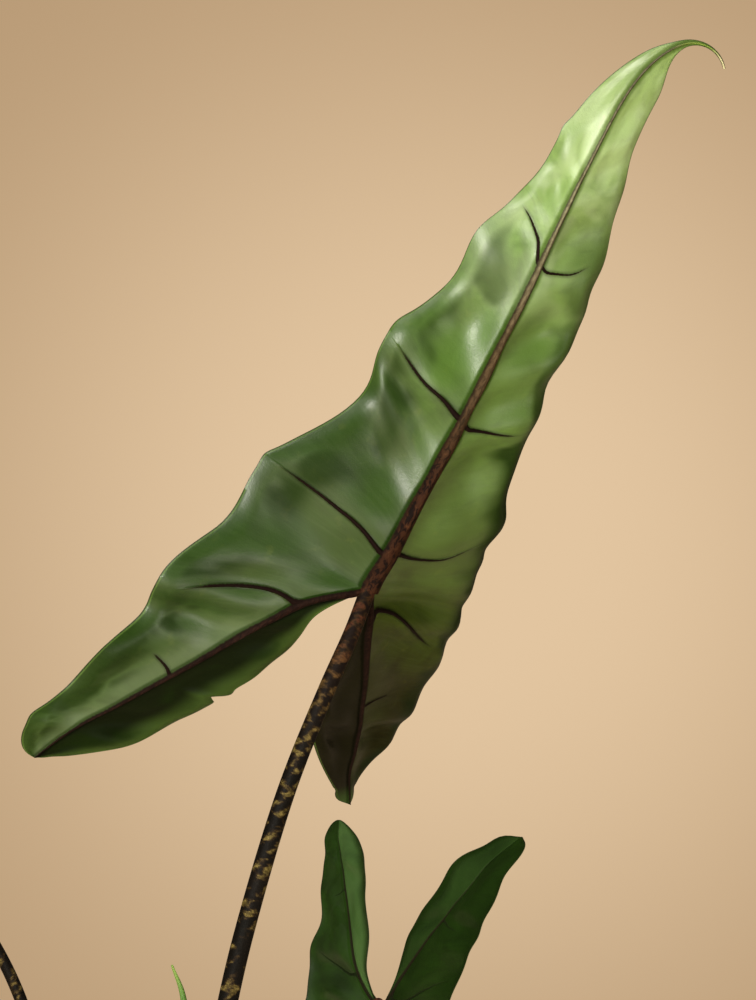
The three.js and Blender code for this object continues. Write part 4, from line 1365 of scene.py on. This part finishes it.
# Painted sheen: pale patches near the tip stand in for highlights.
painted_sheen = times(
    tree,
    rise(tree, slow_noise, 0.46, 0.64),
    rise(tree, row, 6.5, 4.5, 0, 0.42),
    rise(tree, row, 0.8, 2),
    rise(tree, on_right, 0, 1, 1, 0.5),
)
low_notch = coats(tree, toned(tree, out, 0.5, 0.95, (20, 29, 8), (72, 96, 42)), (on_right, (26, 25, 7)))
# Painted shade: a dark strip along the margin, on the right and on the left lobe, where the margin rolls away
# from the light.
wide_margin = plus(tree, margin, rise(tree, slow_noise, 0.3, 0.7, -7.0, 7.0))
right_shade = times(tree, on_right, rise(tree, row, 1.5, 9, 0.05, 0.95))
left_shade = times(tree, on_left, rise(tree, row, 11, 13, 0.25, 0.7))
margin_shade = times(tree, rise(tree, wide_margin, 20, 6), plus(tree, right_shade, left_shade), on_outer)
# Painted shade: dark patches in the hollows near the left margin.
hollow_shade = times(
    tree,
    rise(tree, margin, 34, 20),
    rise(tree, margin, 3, 10),
    rise(tree, slow_noise, 0.48, 0.66, 0, 0.7),
    on_left,
    rise(tree, row, 3.5, 6),
)
margin_shade = most(tree, margin_shade, hollow_shade)
# Painted sheen: a pale patch on the lobes near the rib stands in for a highlight.
lobe_sheen = times(
    tree,
    rise(tree, out, 0.6, 0.15),
    rise(tree, drift, 10.8, 12.5),
    rise(tree, on_right, 0, 1, 0.45, 0.1),
    on_outer,
)
green = coats(
    tree,
    green,
    (rise(tree, stripes, 0.4, 0.7, 0, 0.08), pale_skin),
    (rise(tree, spots, 0.6, 0.75, 0, 0.08), (150, 160, 70)),
    (painted_sheen, (212, 234, 190)),
    (on_notch, low_notch),
    (margin_shade, (24, 42, 7)),
    (lobe_sheen, (112, 130, 92)),
    # Painted highlight: a thin pale line along the margin.
    (rise(tree, margin, 1.1, 0.5, 0, 0.4), (116, 150, 70)),
    (times(tree, on_right, rise(tree, row, 15.25, 15.7)), (70, 102, 46)),
    (rise(tree, margin, 0.45, 0.15, 0, 0.8), (36, 50, 20)),
)
print("green laid on, nodes so far:", len(tree.nodes))

# %% Rib colours
marks = drawn_out(tree, sheet_place, (0.26, 0.7, 1), 3, 0.6, 0.8)
mottled = toned(tree, marks, 0.42, 0.54, (20, 11, 7), (56, 32, 19))
mottled = coats(tree, mottled, (rise(tree, marks, 0.6, 0.72), (78, 48, 28)))
rib = coats(
    tree,
    mottled,
    (rise(tree, rib_x, 50, 120), toned(tree, marks, 0.35, 0.65, (70, 55, 37), (98, 80, 56))),
    (rise(tree, rib_x, 110, 200), toned(tree, marks, 0.3, 0.7, (128, 122, 94), (168, 164, 132))),
    (rise(tree, row, 10.02, 10.3), toned(tree, marks, 0.35, 0.65, (26, 15, 12), (46, 28, 22))),
    (rise(tree, inside_rib, 1.2, 0.2, 0, 0.75), (28, 18, 14)),
    (
        rise(tree, rib_x, BLADE_LENGTH - 6, BLADE_LENGTH + 8),
        toned(tree, rib_x, TIP - 12, TIP - 3, (132, 158, 70), (220, 214, 168)),
    ),
)
# Painted shade: the skin just next to the ribs and veins is darkened.
vein_crease_shade = times(tree, rise(tree, inside_vein, -1.4, -0.1, 0, 0.5), shown)
crease_shade = most(tree, rise(tree, inside_rib, -2.4, -0.2, 0, 0.7), vein_crease_shade)
green = coats(tree, green, (crease_shade, tinted(tree, green, (120, 126, 96))))
colour_under = coats(tree, green, (vein_mask, (28, 16, 13)), (rib_mask, rib))
print("ribs and veins laid on, nodes so far:", len(tree.nodes))

# %% Upper colours and shader
line_rib = rise(tree, inside_rib, 0.0, 0.9)
line_vein = times(tree, rise(tree, inside_vein, -0.2, 0.4), shown)
# Painted light: on the upper side the notch strip is paler, more on the left, where it faces the light.
lit_notch_strip = times(tree, on_notch, rise(tree, out, 0.95, 0.6), rise(tree, on_right, 0, 1, 0.8, 0.3))
colour_up = coats(
    tree,
    toned(tree, clouds, 0.3, 0.7, (26, 44, 12), (36, 60, 18)),
    (rise(tree, rib_x, 90, 250), (66, 100, 40)),
    (rise(tree, streaks, 0.45, 0.7, 0, 0.4), (24, 36, 12)),
    (lit_notch_strip, toned(tree, clouds, 0.3, 0.7, (62, 92, 44), (76, 106, 56))),
    # Painted shade: the right half of the upper side is darker.
    (times(tree, on_right, 0.4), (12, 26, 3)),
    (rise(tree, margin, 0.8, 0.2, 0, 0.6), (24, 30, 12)),
    (times(tree, line_vein, 0.75), (18, 18, 10)),
    (times(tree, line_rib, 0.9), (26, 18, 12)),
)
colour = mix_colour(tree, under, colour_up, colour_under)
solid_mask = most(tree, rib_mask, vein_mask)
line_mask = most(tree, line_rib, line_vein)
matt_mask = most(tree, solid_mask, rise(tree, inside_rib, -2.4, -0.4))
gloss_under = rise(tree, matt_mask, 0, 1, 0.42, 0.7)
gloss_up = rise(tree, line_mask, 0, 1, 0.38, 0.75)
gloss = add_node(tree, "Mix", {0: under, 2: gloss_up, 3: gloss_under}, data_type="FLOAT").outputs[0]
gloss = plus(tree, gloss, rise(tree, skin["Tone"], 0.3, 0.7, -0.04, 0.05))
fine_relief = bumps(tree, plus(tree, skin["Grain"], times(tree, stripes, 0.4)), 0.0003, 0.25)
right_lobe = times(tree, on_right, rise(tree, row, 9, 11, 0.2, 0.9))
dull_strip = times(tree, on_notch, under, 0.9)
dull_upper = rise(tree, under, 0.4, 0.6, 0.45, 0)
dull = most(tree, matt_mask, dull_strip, most(tree, margin_shade, right_lobe), dull_upper)
surface = coated(tree, colour, gloss, fine_relief, rise(tree, dull, 0, 1, 0.85, 0.06))
glow_colour = tinted(tree, colour, (255, 250, 150))
through_skin = add_node(tree, "BsdfTranslucent", {"Color": glow_colour, "Normal": fine_relief})
thin = rise(tree, solid_mask, 0.1, 0.9, 0.08, 0.0)
set_surface(tree, add_node(tree, "MixShader", {0: thin, 1: surface.outputs[0], 2: through_skin.outputs[0]}))
for name, blade in blades.items():
    finish_piece(blade, name.replace("leaf", "blade"), leaf_skin, "leaf", name)

# %% [markdown]
# ## The new leaf
# The youngest leaf still stands rolled into a spear on top of its stalk. Its free edge climbs round it in a
# long spiral. It is the same kind of rolled rod as a stalk, with a radius that grows a little all the way
# round and steps back at the free edge, and it ends in a soft hooked tip.

# %% Rolled leaf
SPEAR_PATH = [
    (1.03, 11.97, 244.3), (5, 9.5, 275), (12, 6, 325), (15, 3, 362), (13.6, 1.5, 380), (9.3, 0, 392.5),
]
SPEAR_FOOT = 3.3
SPEAR_MIDDLE = 4.3
SPEAR_TOP = 0.45
SPEAR_SWELL_END = 0.3
SPEAR_OVERLAP = 0.55
ROLL_TURN = 1.6


def spear_outline(share, angle):
    """The radius of the rolled leaf, with the step of its free edge."""
    swell = SPEAR_FOOT + (SPEAR_MIDDLE - SPEAR_FOOT) * smooth_step(share, 0, SPEAR_SWELL_END)
    taper = np.maximum(0, (share - SPEAR_SWELL_END) / 0.7) ** 1.25
    body = SPEAR_TOP + (swell - SPEAR_TOP) * (1 - taper)
    around = (angle / (2 * np.pi) + ROLL_TURN * share + 2) % 1
    return body + SPEAR_OVERLAP * around * np.minimum(1, body / 2.5)


spear = rolled_rod(SPEAR_PATH, spear_outline, 72, 150)
print("rolled leaf has", len(spear.data.polygons), "faces")

# %% Rolled leaf finish
young_skin, tree = new_material("young_skin")
rod_place = attribute(tree, "rod", "Vector")
share = attribute(tree, "share")
skin = use_group(tree, plant_grain, rod_place)
lines = drawn_out(tree, rod_place, (1.1, 1.1, 0.05), 3, 0.5, 0.2)
green = coats(
    tree,
    toned(tree, skin["Tone"], 0.3, 0.7, (84, 128, 52), (118, 160, 70)),
    (rise(tree, lines, 0.4, 0.65, 0, 0.4), (62, 104, 44)),
    (rise(tree, share, 0.0, 0.12, 0.7, 0.0), (74, 58, 36)),
    (rise(tree, share, 0.9, 1.0, 0.0, 0.5), (150, 176, 84)),
)
relief = plus(tree, skin["Grain"], times(tree, lines, 1.5))
set_surface(tree, coated(tree, green, 0.42, bumps(tree, relief, 0.0003, 0.4)))
finish_piece(spear, "rolled_leaf", young_skin, "new_leaf", "leaf_new")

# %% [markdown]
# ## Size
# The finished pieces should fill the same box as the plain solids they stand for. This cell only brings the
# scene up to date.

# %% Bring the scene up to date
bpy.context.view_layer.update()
